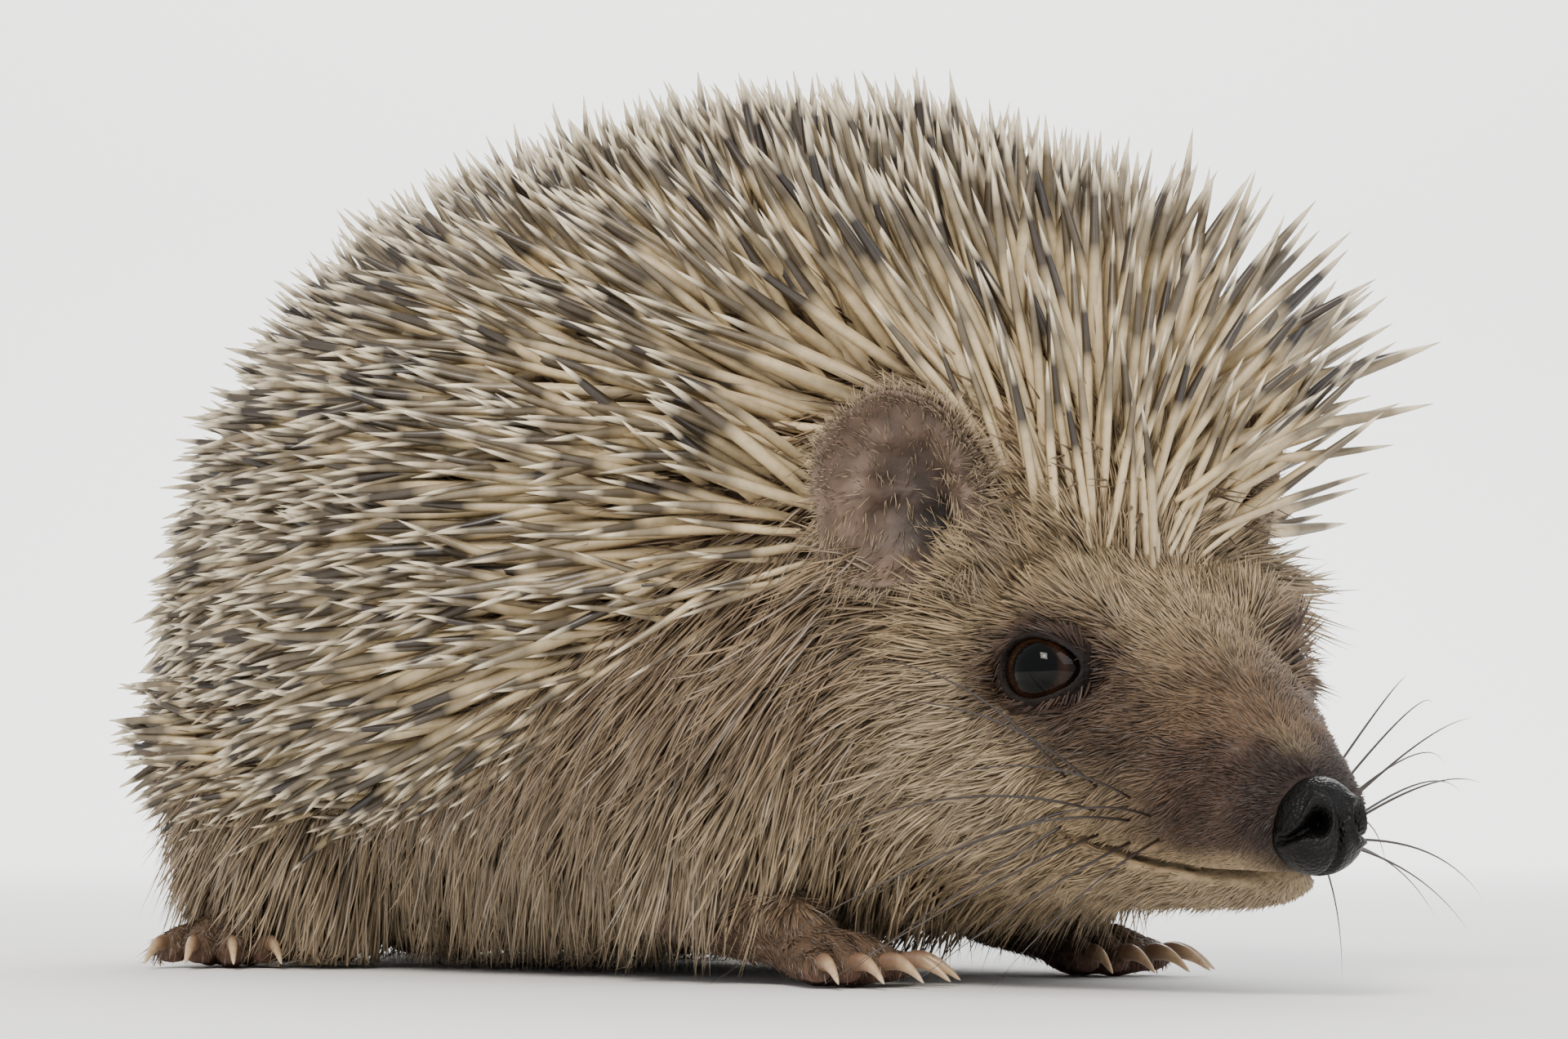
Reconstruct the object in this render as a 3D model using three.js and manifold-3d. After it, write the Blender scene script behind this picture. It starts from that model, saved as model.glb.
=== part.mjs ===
// A young European hedgehog, life size, standing low on its four feet with its spines half raised.
// Millimetres. +X runs forward to the nose, +Y to the animal's left, +Z up. The origin is on the floor,
// under the middle of the body. Every solid reaches out to the tips of its fur or spines.
import * as THREE from "three";
import { mergeVertices } from "three/addons/utils/BufferGeometryUtils.js";
import Module from "manifold-3d";

const wasm = await Module();
wasm.setup();

// Driving dimensions of the whole animal. Lengths along X are first laid out from a point between the
// shoulders and the hips, and everything is moved back by MIDDLE_X at the end.
const LENGTH = 212; // nose tip to the rearmost spine tips
const WIDTH = 116; // across the spine tips
const HEIGHT = 110; // floor to the highest spine tips
const GAP = 0.3; // the thin cut between two neighbouring parts
const MIDDLE_X = 5;
const RUMP_X = MIDDLE_X - LENGTH / 2;
const HALF_WIDTH = WIDTH / 2;
const HEAD_TURN = 10; // degrees the head is turned to the animal's right, about a point in the neck
const TURN_X = 35;
const NOSE_X = TURN_X + 77.15; // nose tip, along the head's own axis

// ---------------------------------------------------------------- making solids

// A closed three.js geometry as a solid, with its faces pointing out.
function solid(geometry) {
  geometry.deleteAttribute("normal");
  geometry.deleteAttribute("uv");
  const merged = mergeVertices(geometry, 1e-4);
  const corners = merged.index.array;
  const triVerts = [];
  for (let i = 0; i < corners.length; i += 3) {
    const [a, b, c] = [corners[i], corners[i + 1], corners[i + 2]];
    if (a !== b && b !== c && c !== a) triVerts.push(a, b, c);
  }
  const vertProperties = merged.attributes.position.array;
  const build = (tris) =>
    new wasm.Manifold(new wasm.Mesh({ numProp: 3, vertProperties, triVerts: new Uint32Array(tris) }));
  const made = build(triVerts);
  return made.volume() > 0 ? made : build(triVerts.reverse());
}

// Moves every vertex of a geometry with a function from its unit position to its place.
function shaped(geometry, place) {
  const at = geometry.attributes.position;
  const from = new THREE.Vector3();
  for (let i = 0; i < at.count; i++) {
    from.fromBufferAttribute(at, i);
    const to = place(from);
    at.setXYZ(i, to.x, to.y, to.z);
  }
  return geometry;
}

const signedPower = (value, power) => Math.sign(value) * Math.abs(value) ** power;

// A smooth run of section sizes along the body, from a few stations {x, z, half, up, down}.
function sections(stations) {
  const keys = ["z", "half", "up", "down"];
  const run = new THREE.CubicInterpolant(
    stations.map((s) => s.x),
    stations.flatMap((s) => keys.map((key) => s[key])),
    keys.length,
  );
  return (x) => {
    const [z, half, up, down] = run.evaluate(x);
    return { z, half, up, down };
  };
}

// A rounded body lengthwise along X: `half`, `up` and `down` are measured from the section's middle
// height z, `rear` and `front` are the lengths over which its two ends round off, and `grow` swells it.
function bodyForm({ stations, rear, front, around = 32, along = 24, power = 1, relief }, grow = 0) {
  const size = sections(stations);
  const first = stations[0].x;
  const last = stations[stations.length - 1].x;
  const geometry = new THREE.SphereGeometry(1, around, along);
  return solid(
    shaped(geometry, (unit) => {
      const row = Math.round((Math.acos(THREE.MathUtils.clamp(unit.y, -1, 1)) / Math.PI) * along);
      const step = row / along;
      const angle = Math.atan2(unit.z, unit.x);
      const x = first + ((last - first) * (1 - Math.cos(Math.PI * step))) / 2;
      const s = size(x);
      const tail = Math.min(1, (x - first) / rear);
      const nose = Math.min(1, (last - x) / front);
      const round = Math.sqrt(Math.max(0, 1 - (1 - tail) ** 2)) * Math.sqrt(Math.max(0, 1 - (1 - nose) ** 2));
      const pole = row === 0 || row === along;
      const side = pole ? 0 : signedPower(Math.cos(angle), power) * (s.half * round + grow);
      const rise = pole ? 0 : signedPower(Math.sin(angle), power);
      const height = rise * ((rise > 0 ? s.up : s.down) * round + grow);
      const end = row === 0 ? -grow : row === along ? grow : 0;
      const place = new THREE.Vector3(x + end, side, s.z + height);
      return relief && !pole ? relief(place, row, angle, s) : place;
    }),
  );
}

// A limb, toe or claw: a capsule laid along a curve through a few points, with a radius at each point.
// `flat` below 1 makes it wider than it is tall.
function limb(points, radii, { around = 12, along = 6, caps = 3, flat = 1, grow = 0 } = {}) {
  const curve = new THREE.CatmullRomCurve3(points.map((p) => new THREE.Vector3(...p)));
  const radius = new THREE.LinearInterpolant(
    radii.map((r, i) => i / (radii.length - 1)),
    radii,
    1,
  );
  const geometry = new THREE.CapsuleGeometry(1, 1, caps, around, along);
  return solid(
    shaped(geometry, (unit) => {
      const step = THREE.MathUtils.clamp(unit.y + 0.5, 0, 1);
      const tangent = curve.getTangentAt(step);
      const side = new THREE.Vector3(0, 0, 1).cross(tangent).normalize();
      const up = tangent.clone().cross(side);
      const r = radius.evaluate(step)[0] + grow;
      const beyond = unit.y - (step - 0.5);
      return curve
        .getPointAt(step)
        .addScaledVector(tangent, beyond * r)
        .addScaledVector(side, unit.x * r)
        .addScaledVector(up, unit.z * r * flat);
    }),
  );
}

// An ellipsoid with its three half sizes.
function ellipsoid([x, y, z], [a, b, c], around = 20, along = 12) {
  return solid(new THREE.SphereGeometry(1, around, along).scale(a, b, c).translate(x, y, z));
}

// A slab across the body whose side view is the closed outline of [x, z] points.
function sideSlab(outline, halfDepth) {
  const shape = new THREE.Shape(outline.map(([x, z]) => new THREE.Vector2(x, z)));
  const slab = new THREE.ExtrudeGeometry(shape, { depth: 2 * halfDepth, bevelEnabled: false, curveSegments: 8 });
  return solid(slab.translate(0, 0, -halfDepth).rotateX(Math.PI / 2));
}

const sides = { right: -1, left: 1 };

// ---------------------------------------------------------------- trunk, neck and head

const TRUNK = {
  stations: [
    { x: RUMP_X + 8, z: 31, half: 22, up: 30, down: 19 },
    { x: -75, z: 34, half: 31, up: 37, down: 28 },
    { x: -50, z: 36, half: 38.5, up: 47, down: 33 },
    { x: -15, z: 38, half: 47, up: 52, down: 35.5 },
    { x: 15, z: 39, half: 47, up: 51, down: 36 },
    { x: 38, z: 38, half: 40, up: 44, down: 32 },
    { x: 56, z: 34, half: 31, up: 30, down: 27 },
    { x: 68, z: 31, half: 26, up: 20, down: 23 },
  ],
  rear: 26,
  front: 12,
  around: 22,
  along: 15,
};

// The head in its own straight frame, before it is turned.
const HEAD = {
  stations: [
    { x: 36, z: 32, half: 30, up: 31, down: 25 },
    { x: 50, z: 31, half: 29.5, up: 29, down: 24 },
    { x: 62, z: 30.5, half: 27.5, up: 26, down: 22 },
    { x: 72, z: 29.5, half: 24, up: 23, down: 19.5 },
    { x: 80, z: 28, half: 20, up: 20, down: 18.3 },
    { x: 89, z: 26.5, half: 16, up: 15.5, down: 17.3 },
    { x: 96, z: 24, half: 12.8, up: 12, down: 15 },
    { x: 103, z: 21, half: 9.6, up: 8.5, down: 11.8 },
    { x: 109, z: 19.2, half: 6.6, up: 5.8, down: 8 },
  ],
  rear: 14,
  front: 5,
  around: 22,
  along: 17,
  power: 0.97,
};

// The head is parted from the neck, and the neck from the trunk, by cuts that lean back at the top.
const NECK_LEAN = THREE.MathUtils.degToRad(24);
const HEAD_CUT = 68;
const NECK_CUT = 57;
const leaning = [Math.cos(NECK_LEAN), 0, Math.sin(NECK_LEAN)];
const backwards = leaning.map((v) => -v);

// ---------------------------------------------------------------- mouth, nose and eyes

const JAW_LINE = [[82, 17.4], [90, 14.7], [98, 13.4], [106.5, 13]]; // from the corner of the mouth to the front
const JAW_TIP = 103.5;
const JAW = {
  stations: [
    { x: 40, z: 17, half: 32, up: 12, down: 14 },
    { x: 75, z: 16, half: 30, up: 12, down: 12 },
    { x: 90, z: 15, half: 22, up: 9, down: 8 },
    { x: 97, z: 13.5, half: 9.5, up: 6, down: 4.2 },
    { x: JAW_TIP, z: 13.3, half: 5.2, up: 5, down: 3.2 },
  ],
  rear: 6,
  front: 4,
  around: 16,
  along: 10,
};

const NOSE = {
  stations: [
    { x: NOSE_X - 8, z: 18.6, half: 5.5, up: 5.5, down: 5.4 },
    { x: NOSE_X - 3.5, z: 18.6, half: 5.6, up: 5.6, down: 5.6 },
    { x: NOSE_X, z: 18.4, half: 5.2, up: 5.2, down: 5.2 },
  ],
  rear: 1.5,
  front: 4.5,
  around: 14,
  along: 8,
};
const NOSTRIL = { at: [NOSE_X - 1.6, 4.6, 18.6], size: [3, 1.9, 2.4] };

const EYE = { at: [79, 14.6, 35.4], radius: 5 };

// ---------------------------------------------------------------- ears

const EAR = {
  middle: [64.5, 24.8, 55.5],
  wide: 9.9,
  tall: 11.6,
  thick: 1.8,
  cup: 4.5,
  opens: [0.55, 0.82, -0.18], // the way its hollow side faces
  leans: [-0.28, 0.39, 0.88], // from the root to its tip
};

const mirrored = ([x, y, z], side) => new THREE.Vector3(x, y * side, z);

// A cup with a round top and straight sides below: both faces follow the same bowl, and meet in a rounded rim.
function ear(side, grow = 0) {
  const opens = mirrored(EAR.opens, side).normalize();
  const across = mirrored(EAR.leans, side).cross(opens).normalize();
  const rise = opens.clone().cross(across);
  return solid(
    shaped(new THREE.SphereGeometry(1, 14, 8), (unit) => {
      const reach = Math.hypot(unit.x, unit.z);
      const bowl = EAR.cup * (reach * reach - 0.5);
      const square = unit.z < 0 ? 1 - 0.35 * unit.z : 1;
      return mirrored(EAR.middle, side)
        .addScaledVector(across, unit.x * square * (EAR.wide + grow))
        .addScaledVector(rise, unit.z * (EAR.tall + grow))
        .addScaledVector(opens, bowl + unit.y * (EAR.thick / 2 + grow));
    }),
  );
}

// ---------------------------------------------------------------- spine coat

// The outer form lies through the spine tips: one form over the back, and the hood of the head, which
// turns with it. Clumps of tips stand out and lean backwards.
const CLUMP_DEPTH = 7;
const CLUMP_LEAN = 5;
const BACK = {
  stations: [
    { x: RUMP_X, z: 34, half: 33, up: 38, down: 30 },
    { x: -80, z: 35, half: 36.5, up: 50.5, down: 33 },
    { x: -60, z: 36, half: 43, up: 62, down: 34 },
    { x: -35, z: 37, half: 53, up: 69.5, down: 35 },
    { x: -5, z: 37, half: HALF_WIDTH + 1, up: HEIGHT - 37, down: 35 },
    { x: 22, z: 38, half: 57, up: HEIGHT - 38, down: 34 },
    { x: 45, z: 42, half: 50, up: 62, down: 34 },
    { x: 66, z: 46, half: 42, up: 48, down: 30 },
  ],
  rear: 32,
  front: 18,
  around: 32,
  along: 23,
};
const HOOD = {
  stations: [
    { x: 20, z: 50, half: 46, up: 50, down: 26 },
    { x: 42, z: 52, half: 50, up: 50, down: 26 },
    { x: 60, z: 54, half: 52, up: 45, down: 26 },
    { x: 76, z: 56, half: 50, up: 37, down: 26 },
    { x: 93, z: 58, half: 42, up: 28, down: 24 },
  ],
  rear: 20,
  front: 22,
  around: 24,
  along: 12,
};
const SCOOP = { from: -2, to: 32, radii: [12.5, 16] }; // the open space in front of each ear, from its middle

// The lower edge of the coat in side view, from the rump along the flank to behind the ear.
const BACK_EDGE = [[-110, 22], [-85, 20], [-52, 16], [-26, 14], [0, 20], [12, 26], [26, 35], [40, 45], [90, 47]];
const HOOD_EDGE = [[-10, 40], [46, 40], [58, 47], [72, 50], [110, 51]];

// Every second point of the form is a clump's tip; the points between them lie deeper.
const clumpsOn = (form) => (place, row, angle, section) => {
  const column = Math.round(((angle + Math.PI) / (2 * Math.PI)) * form.around);
  const tip = row % 2 === 0 && (column + row / 2) % 2 === 0;
  if (tip) return place.add(new THREE.Vector3(-CLUMP_LEAN * Math.min(1, (place.x - RUMP_X) / 40), 0, 0));
  const middle = new THREE.Vector3(place.x, 0, section.z);
  const out = place.sub(middle);
  return middle.add(out.setLength(Math.max(out.length() * 0.55, out.length() - CLUMP_DEPTH)));
};

// ---------------------------------------------------------------- legs, paws and claws

// Each paw: where its wrist or ankle is, which way it points from straight ahead, and its sizes.
const PAWS = {
  fore_right: { at: [37.5, -25], turn: 2, long: 13, wide: 6.4, toe: 2.5 },
  fore_left: { at: [32, 22], turn: 6, long: 13.5, wide: 6.4, toe: 2.5 },
  hind_right: { at: [-65, -31], turn: -34, long: 16, wide: 7, toe: 2.7 },
  hind_left: { at: [-90, 15], turn: 12, long: 16, wide: 7, toe: 2.7 },
};
const TOES = 5;
const SOLE = 3.4; // height of the paw's middle above the floor

function toePlace(paw, toe, ahead, rise) {
  const spread = toe - (TOES - 1) / 2;
  const fan = THREE.MathUtils.degToRad(paw.turn + spread * 13);
  const turn = THREE.MathUtils.degToRad(paw.turn);
  const reach = paw.long * (1 - 0.035 * spread * spread) + ahead;
  return [
    paw.at[0] + Math.cos(fan) * reach - Math.sin(turn) * spread * 0.8,
    paw.at[1] + Math.sin(fan) * reach + Math.cos(turn) * spread * 0.8,
    rise,
  ];
}

function paw(spec) {
  const [x, y] = spec.at;
  const turn = THREE.MathUtils.degToRad(spec.turn);
  const ball = [x + Math.cos(turn) * spec.long * 0.62, y + Math.sin(turn) * spec.long * 0.62, SOLE + 0.2];
  const palm = { flat: 0.72, around: 8, along: 2, caps: 2 };
  let made = limb([[x, y, SOLE + 1.6], ball], [spec.wide * 0.72, spec.wide], palm);
  for (let toe = 0; toe < TOES; toe++) {
    const root = toePlace(spec, toe, -8, SOLE + 0.6);
    const tip = toePlace(spec, toe, 0, spec.toe - 0.2);
    made = made.add(limb([root, tip], [spec.toe, spec.toe], { around: 6, along: 1, caps: 1 }));
  }
  return made.trimByPlane([0, 0, 1], 0);
}

// Claws are slim hooks: they leave the end of the toe a little upwards and curve down to just above the
// floor. Each starts a thin cut away from its toe.
const CLAW = { long: 4.4, thick: 1.05, sharp: 0.35 };

function claw(spec, toe) {
  const start = spec.toe + GAP + CLAW.thick;
  const root = toePlace(spec, toe, start, spec.toe + 0.6);
  const crest = toePlace(spec, toe, start + CLAW.long * 0.5, spec.toe + 0.7);
  const tip = toePlace(spec, toe, start + CLAW.long, 1.2);
  return limb([root, crest, tip], [CLAW.thick, CLAW.thick * 0.85, CLAW.sharp], { around: 5, along: 2, caps: 1 });
}

// Each leg's joints from the shoulder or hip to the wrist or ankle, with the radius at each.
const LEGS = {
  fore_right: { joints: [[27, -25, 24], [24, -27, 9.5], [37, -25, 5.6]], radii: [10, 7, 5] },
  fore_left: { joints: [[21, 22, 24], [18, 24, 9.5], [31.5, 22, 5.6]], radii: [10, 7, 5] },
  hind_right: { joints: [[-46, -28, 24], [-62, -33, 10], [-65, -31, 6]], radii: [12, 7, 5.2] },
  hind_left: { joints: [[-60, 24, 24], [-84, 18, 10], [-90, 15, 6]], radii: [12, 7, 5.2] },
};

function leg({ joints, radii }, grow = 0) {
  const bone = (i) => limb(joints.slice(i, i + 2), radii.slice(i, i + 2), { around: 8, along: 1, caps: 1, grow });
  return bone(0).add(bone(1));
}

const TAIL = { points: [[-82, 0, 24], [-91, 0, 17], [-97, 0, 11]], radii: [4.5, 3, 1.6] };
const TAIL_MESH = { around: 8, along: 4, caps: 2 };

// ---------------------------------------------------------------- putting it together

const finishes = {
  fur: { color: 0x8d7560, roughness: 0.95, metalness: 0 },
  face: { color: 0x6f5a49, roughness: 0.95, metalness: 0 },
  spines: { color: 0x9b8468, roughness: 0.6, metalness: 0 },
  ear: { color: 0x5b4a41, roughness: 0.8, metalness: 0 },
  nose: { color: 0x17120f, roughness: 0.35, metalness: 0 },
  eye: { color: 0x070505, roughness: 0.08, metalness: 0 },
  paw: { color: 0x7d6252, roughness: 0.75, metalness: 0 },
  claw: { color: 0xb9a184, roughness: 0.4, metalness: 0 },
};

const hedgehog = new THREE.Group();

function add(name, made, finish) {
  const mesh = made.translate([-MIDDLE_X, 0, 0]).getMesh();
  const geometry = new THREE.BufferGeometry();
  geometry.setAttribute("position", new THREE.BufferAttribute(mesh.vertProperties, mesh.numProp));
  geometry.setIndex(new THREE.BufferAttribute(mesh.triVerts, 1));
  geometry.computeVertexNormals();
  const material = new THREE.MeshStandardMaterial(finishes[finish]);
  const piece = new THREE.Mesh(geometry, material);
  piece.name = name;
  hedgehog.add(piece);
}

// The largest body of a solid, without the slivers that a cut can leave.
function largest(made) {
  return made.decompose().sort((a, b) => b.volume() - a.volume())[0];
}

// Turns what was laid out in the head's own frame.
function turned(made) {
  return made.translate([-TURN_X, 0, 0]).rotate([0, 0, -HEAD_TURN]).translate([TURN_X, 0, 0]);
}

const legNames = Object.keys(LEGS);
const foreNames = ["fore_right", "fore_left"];
const flesh = bodyForm(TRUNK).add(turned(bodyForm(HEAD)));
const fleshRoom = bodyForm(TRUNK, GAP).add(turned(bodyForm(HEAD, GAP)));

const paws = Object.fromEntries(legNames.map((name) => [name, paw(PAWS[name])]));
const legRooms = Object.fromEntries(
  legNames.map((name) => {
    const spec = PAWS[name];
    const pawRoom = paw({ ...spec, wide: spec.wide + GAP, toe: spec.toe + GAP });
    return [name, { leg: leg(LEGS[name], GAP), paw: pawRoom }];
  }),
);
const withoutLegs = (made, names) =>
  names.reduce((rest, name) => rest.subtract(legRooms[name].leg).subtract(legRooms[name].paw), made);
const tailRoom = limb(TAIL.points, TAIL.radii, { ...TAIL_MESH, grow: GAP });

// Trunk and neck: slices of the same flesh, with room for the legs and the tail.
const trunk = flesh.trimByPlane(backwards, -NECK_CUT + GAP / 2).subtract(tailRoom);
add("trunk", largest(withoutLegs(trunk, legNames)), "fur");
const neck = flesh.trimByPlane(leaning, NECK_CUT + GAP / 2).trimByPlane(backwards, -HEAD_CUT + GAP / 2);
add("neck", largest(withoutLegs(neck, foreNames)), "fur");

// Head: sockets for the eyes, a step for the nose pad, and the lip line cut over the jaw.
const jawUnder = [[JAW_TIP + 8, 12], [JAW_TIP + 8, -5], [50, -5], [50, 17]];
const jawSlab = sideSlab([...JAW_LINE, ...jawUnder], 40);
const lipCut = sideSlab([...JAW_LINE.map(([x, z], i) => [x - (i === 0 ? 2 * GAP : 0), z + GAP]), ...jawUnder], 41);
const eyeBall = (side, grow) =>
  new THREE.SphereGeometry(EYE.radius + grow, 12, 8).translate(...mirrored(EYE.at, side).toArray());
let head = flesh.trimByPlane(leaning, HEAD_CUT + GAP / 2);
head = head.subtract(turned(lipCut)).subtract(turned(bodyForm(NOSE, GAP)));
for (const side of Object.values(sides)) head = head.subtract(turned(solid(eyeBall(side, GAP))));
add("head", largest(head), "face");

const jaw = turned(bodyForm(JAW).intersect(jawSlab).subtract(bodyForm(NOSE, GAP))).intersect(flesh);
add("lower_jaw", largest(jaw.trimByPlane(leaning, HEAD_CUT + GAP / 2)), "face");

let nose = bodyForm(NOSE);
for (const side of Object.values(sides)) {
  nose = nose.subtract(ellipsoid(mirrored(NOSTRIL.at, side).toArray(), NOSTRIL.size, 8, 6));
}
add("nose", turned(largest(nose)), "nose");

for (const [name, side] of Object.entries(sides)) {
  add(`eye_${name}`, turned(solid(eyeBall(side, 0))), "eye");
  add(`ear_${name}`, largest(turned(ear(side)).subtract(fleshRoom)), "ear");
}

// The spine coat: the forms through the spine tips, cut along their lower edges, hollowed over the body,
// and scooped out in front of each ear.
const below = (edge) => sideSlab([...edge, [edge[edge.length - 1][0], -40], [edge[0][0], -40]], 80);
const back = bodyForm({ ...BACK, relief: clumpsOn(BACK) }).subtract(below(BACK_EDGE));
let hood = bodyForm({ ...HOOD, relief: clumpsOn(HOOD) }).subtract(below(HOOD_EDGE));
let coat = back.add(turned(hood)).subtract(fleshRoom);
for (const side of Object.values(sides)) {
  const reach = (far) => mirrored(EAR.middle, side).addScaledVector(mirrored(EAR.opens, side), far).toArray();
  const scoop = limb([reach(SCOOP.from), reach(SCOOP.to)], SCOOP.radii, { around: 14, along: 2 });
  coat = coat.subtract(turned(ear(side, GAP))).subtract(turned(scoop));
}
add("spine_coat", largest(withoutLegs(coat, legNames).subtract(tailRoom)), "spines");

for (const name of legNames) {
  const whole = leg(LEGS[name]).subtract(legRooms[name].paw);
  add(`leg_${name}`, largest(whole.trimByPlane([0, 0, 1], 0.4)), "fur");
  add(`paw_${name}`, largest(paws[name]), "paw");
  for (let toe = 0; toe < TOES; toe++) add(`claw_${name}_${toe + 1}`, claw(PAWS[name], toe), "claw");
}

add("tail", limb(TAIL.points, TAIL.radii, TAIL_MESH), "fur");

export default hedgehog;
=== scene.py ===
# A young European hedgehog, life size, standing low on its four feet with its spines half raised.
# Sizes are laid out in millimetres, with x forward, y to its left and z up, and become metres where
# a mesh is finished.
import bpy
import math
import numpy as np
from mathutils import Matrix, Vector
from mathutils.bvhtree import BVHTree


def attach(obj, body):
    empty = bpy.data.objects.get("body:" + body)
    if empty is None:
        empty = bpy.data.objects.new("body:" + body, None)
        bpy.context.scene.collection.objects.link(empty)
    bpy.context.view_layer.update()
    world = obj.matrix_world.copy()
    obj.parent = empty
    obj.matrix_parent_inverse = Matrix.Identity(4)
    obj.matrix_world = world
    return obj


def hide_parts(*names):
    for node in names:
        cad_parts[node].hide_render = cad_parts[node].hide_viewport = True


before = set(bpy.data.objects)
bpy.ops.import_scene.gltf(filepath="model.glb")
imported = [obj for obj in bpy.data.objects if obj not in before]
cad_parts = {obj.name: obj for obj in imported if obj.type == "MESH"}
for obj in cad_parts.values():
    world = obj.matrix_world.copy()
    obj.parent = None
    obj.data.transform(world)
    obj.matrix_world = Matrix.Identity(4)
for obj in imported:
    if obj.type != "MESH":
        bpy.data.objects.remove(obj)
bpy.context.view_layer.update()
bpy.ops.object.select_all(action="DESELECT")

# ---------------------------------------------------------------- camera, floor and light
# The camera stands at the animal's own height, in front of its right shoulder. The floor runs up into a
# backdrop in one sweep of matt studio paper, lit by large soft boxes.
bpy.ops.object.camera_add(location=(0.4813, -0.4311, 0.022))
camera = bpy.context.object
CAMERA_WAY = (-0.743, 0.669)  # over the ground
look = Vector((*CAMERA_WAY, math.tan(math.radians(2.98))))
camera.rotation_euler = look.to_track_quat("-Z", "Y").to_euler()
camera.data.sensor_width = 36
camera.data.lens = 120.66
camera.data.clip_start = 0.01
camera.data.clip_end = 20
bpy.context.scene.camera = camera


def add_node(tree, kind, settings=None, **links):
    """Adds a node to a material with its settings, its plain socket values and the links into it."""
    node = tree.nodes.new("ShaderNode" + kind)
    for name, value in (settings or {}).items():
        setattr(node, name, value)
    for name, value in links.items():
        socket = node.inputs[int(name[1:])] if name[0] == "i" and name[1:].isdigit() else node.inputs[
            name.replace("_", " ")]
        if isinstance(value, bpy.types.NodeSocket):
            tree.links.new(value, socket)
        else:
            socket.default_value = value
    return node


def linear(code):
    """An sRGB hex colour as linear red, green and blue."""
    parts = [int(code[i:i + 2], 16) / 255 for i in (0, 2, 4)]
    return tuple(c / 12.92 if c <= 0.04045 else ((c + 0.055) / 1.055) ** 2.4 for c in parts)


def colour(code):
    """The same with full cover, as a shader's socket takes it."""
    return (*linear(code), 1.0)


def new_material(name):
    """An empty material with its node tree, its surface shader and that shader's output."""
    made = bpy.data.materials.new(name)
    made.use_nodes = True
    tree = made.node_tree
    return made, tree, tree.nodes["Principled BSDF"]


def relief(material, where, kind, strength, distance, invert=False, **texture):
    """Fine relief from a noise or cell texture, laid over any that the surface has already."""
    tree = material.node_tree
    texture = add_node(tree, kind, **texture)
    if where:
        tree.links.new(where, texture.inputs["Vector"])
    height = texture.outputs["Fac" if kind == "TexNoise" else "Distance"]
    bump = add_node(tree, "Bump", {"invert": invert}, Strength=strength, Distance=distance, Height=height)
    normal = tree.nodes["Principled BSDF"].inputs["Normal"]
    if normal.is_linked:
        tree.links.new(normal.links[0].from_socket, bump.inputs["Normal"])
    tree.links.new(bump.outputs[0], normal)


PAPER_WIDE = 6.4    # metres from side to side
PAPER_FLAT = 1.0    # metres behind the animal where the paper starts to rise
PAPER_BEND = 0.9
PAPER_LONG = 4.6
PAPER_NEAR = 1.6    # metres of it before the animal
bpy.ops.mesh.primitive_grid_add(x_subdivisions=2, y_subdivisions=60, size=1, location=(0, 0, 0))
paper = bpy.context.object
paper.name = "studio_paper"
away = np.array(CAMERA_WAY)
across = np.array([away[1], -away[0]])
for vertex in paper.data.vertices:
    side = vertex.co.x * PAPER_WIDE
    run = (vertex.co.y + 0.5) * PAPER_LONG - PAPER_NEAR
    if run < PAPER_FLAT:
        reach, rise = run, 0.0
    else:
        angle = min((run - PAPER_FLAT) / PAPER_BEND, math.pi / 2)
        reach = PAPER_FLAT + PAPER_BEND * math.sin(angle)
        rise = PAPER_BEND * (1 - math.cos(angle)) + max(0.0, run - PAPER_FLAT - PAPER_BEND * math.pi / 2)
    flat = across * side + away * reach
    vertex.co = (flat[0], flat[1], rise)
bpy.ops.object.shade_smooth()
# Near-white paper with a faint grain, which takes soft shadows and no gloss.
paper_material, tree, shader = new_material("matt_studio_paper")
shader.inputs["Base Color"].default_value = colour("f8f7f4")
shader.inputs["Roughness"].default_value = 0.9
shader.inputs["Specular IOR Level"].default_value = 0.2
relief(paper_material, None, "TexNoise", 0.05, 0.0002, Scale=900.0, Detail=3.0)
paper.data.materials.append(paper_material)


def soft_box(name, place, power, size, tint="ffffff", way=None):
    """A square area light that faces the middle of the animal, or the way given."""
    way = Vector(way or Vector((0, 0, 0.05)) - Vector(place))
    bpy.ops.object.light_add(type="AREA", location=place)
    lamp = bpy.context.object
    lamp.name = name
    lamp.rotation_euler = way.to_track_quat("-Z", "Y").to_euler()
    lamp.data.size = size
    lamp.data.energy = power
    lamp.data.color = linear(tint)


soft_box("key_light", (0.62, -0.9, 0.95), 17.0, 0.5, "fff6ea")
soft_box("fill_light", (1.1, 0.35, 0.75), 6.0, 0.8, "f2f6ff")
soft_box("back_light", (-0.75, 0.75, 0.95), 14.0, 0.7)
soft_box("catch_light", (0.60, -0.84, 0.84), 2.2, 0.12)
soft_box("backdrop_light", (-1.0, 0.9, 1.5), 45.0, 1.5, way=(*CAMERA_WAY, -0.75))
world = bpy.data.worlds.new("studio_room")
world.use_nodes = True
world.node_tree.nodes["Background"].inputs["Color"].default_value = (0.93, 0.95, 1.0, 1)
world.node_tree.nodes["Background"].inputs["Strength"].default_value = 0.95
bpy.context.scene.world = world

# ---------------------------------------------------------------- skin
# One skin covers trunk, neck, head, legs and paws, as on the animal: loose and rounded on the back,
# tight on the snout and paws. It lies inside the coat by the length that the coat stands off.
MIDDLE_X = 5.0     # the laying-out frame starts this far behind the middle of the whole animal
TURN_X = 35.0      # the head turns about this point in the neck
HEAD_TURN = 10.0   # degrees, to the animal's right
PORE = 1.2         # spacing of the skin's mesh
CLEAR_OF_FLOOR = 0.03
TOE_FAN = 13       # degrees between one toe and the next


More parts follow.
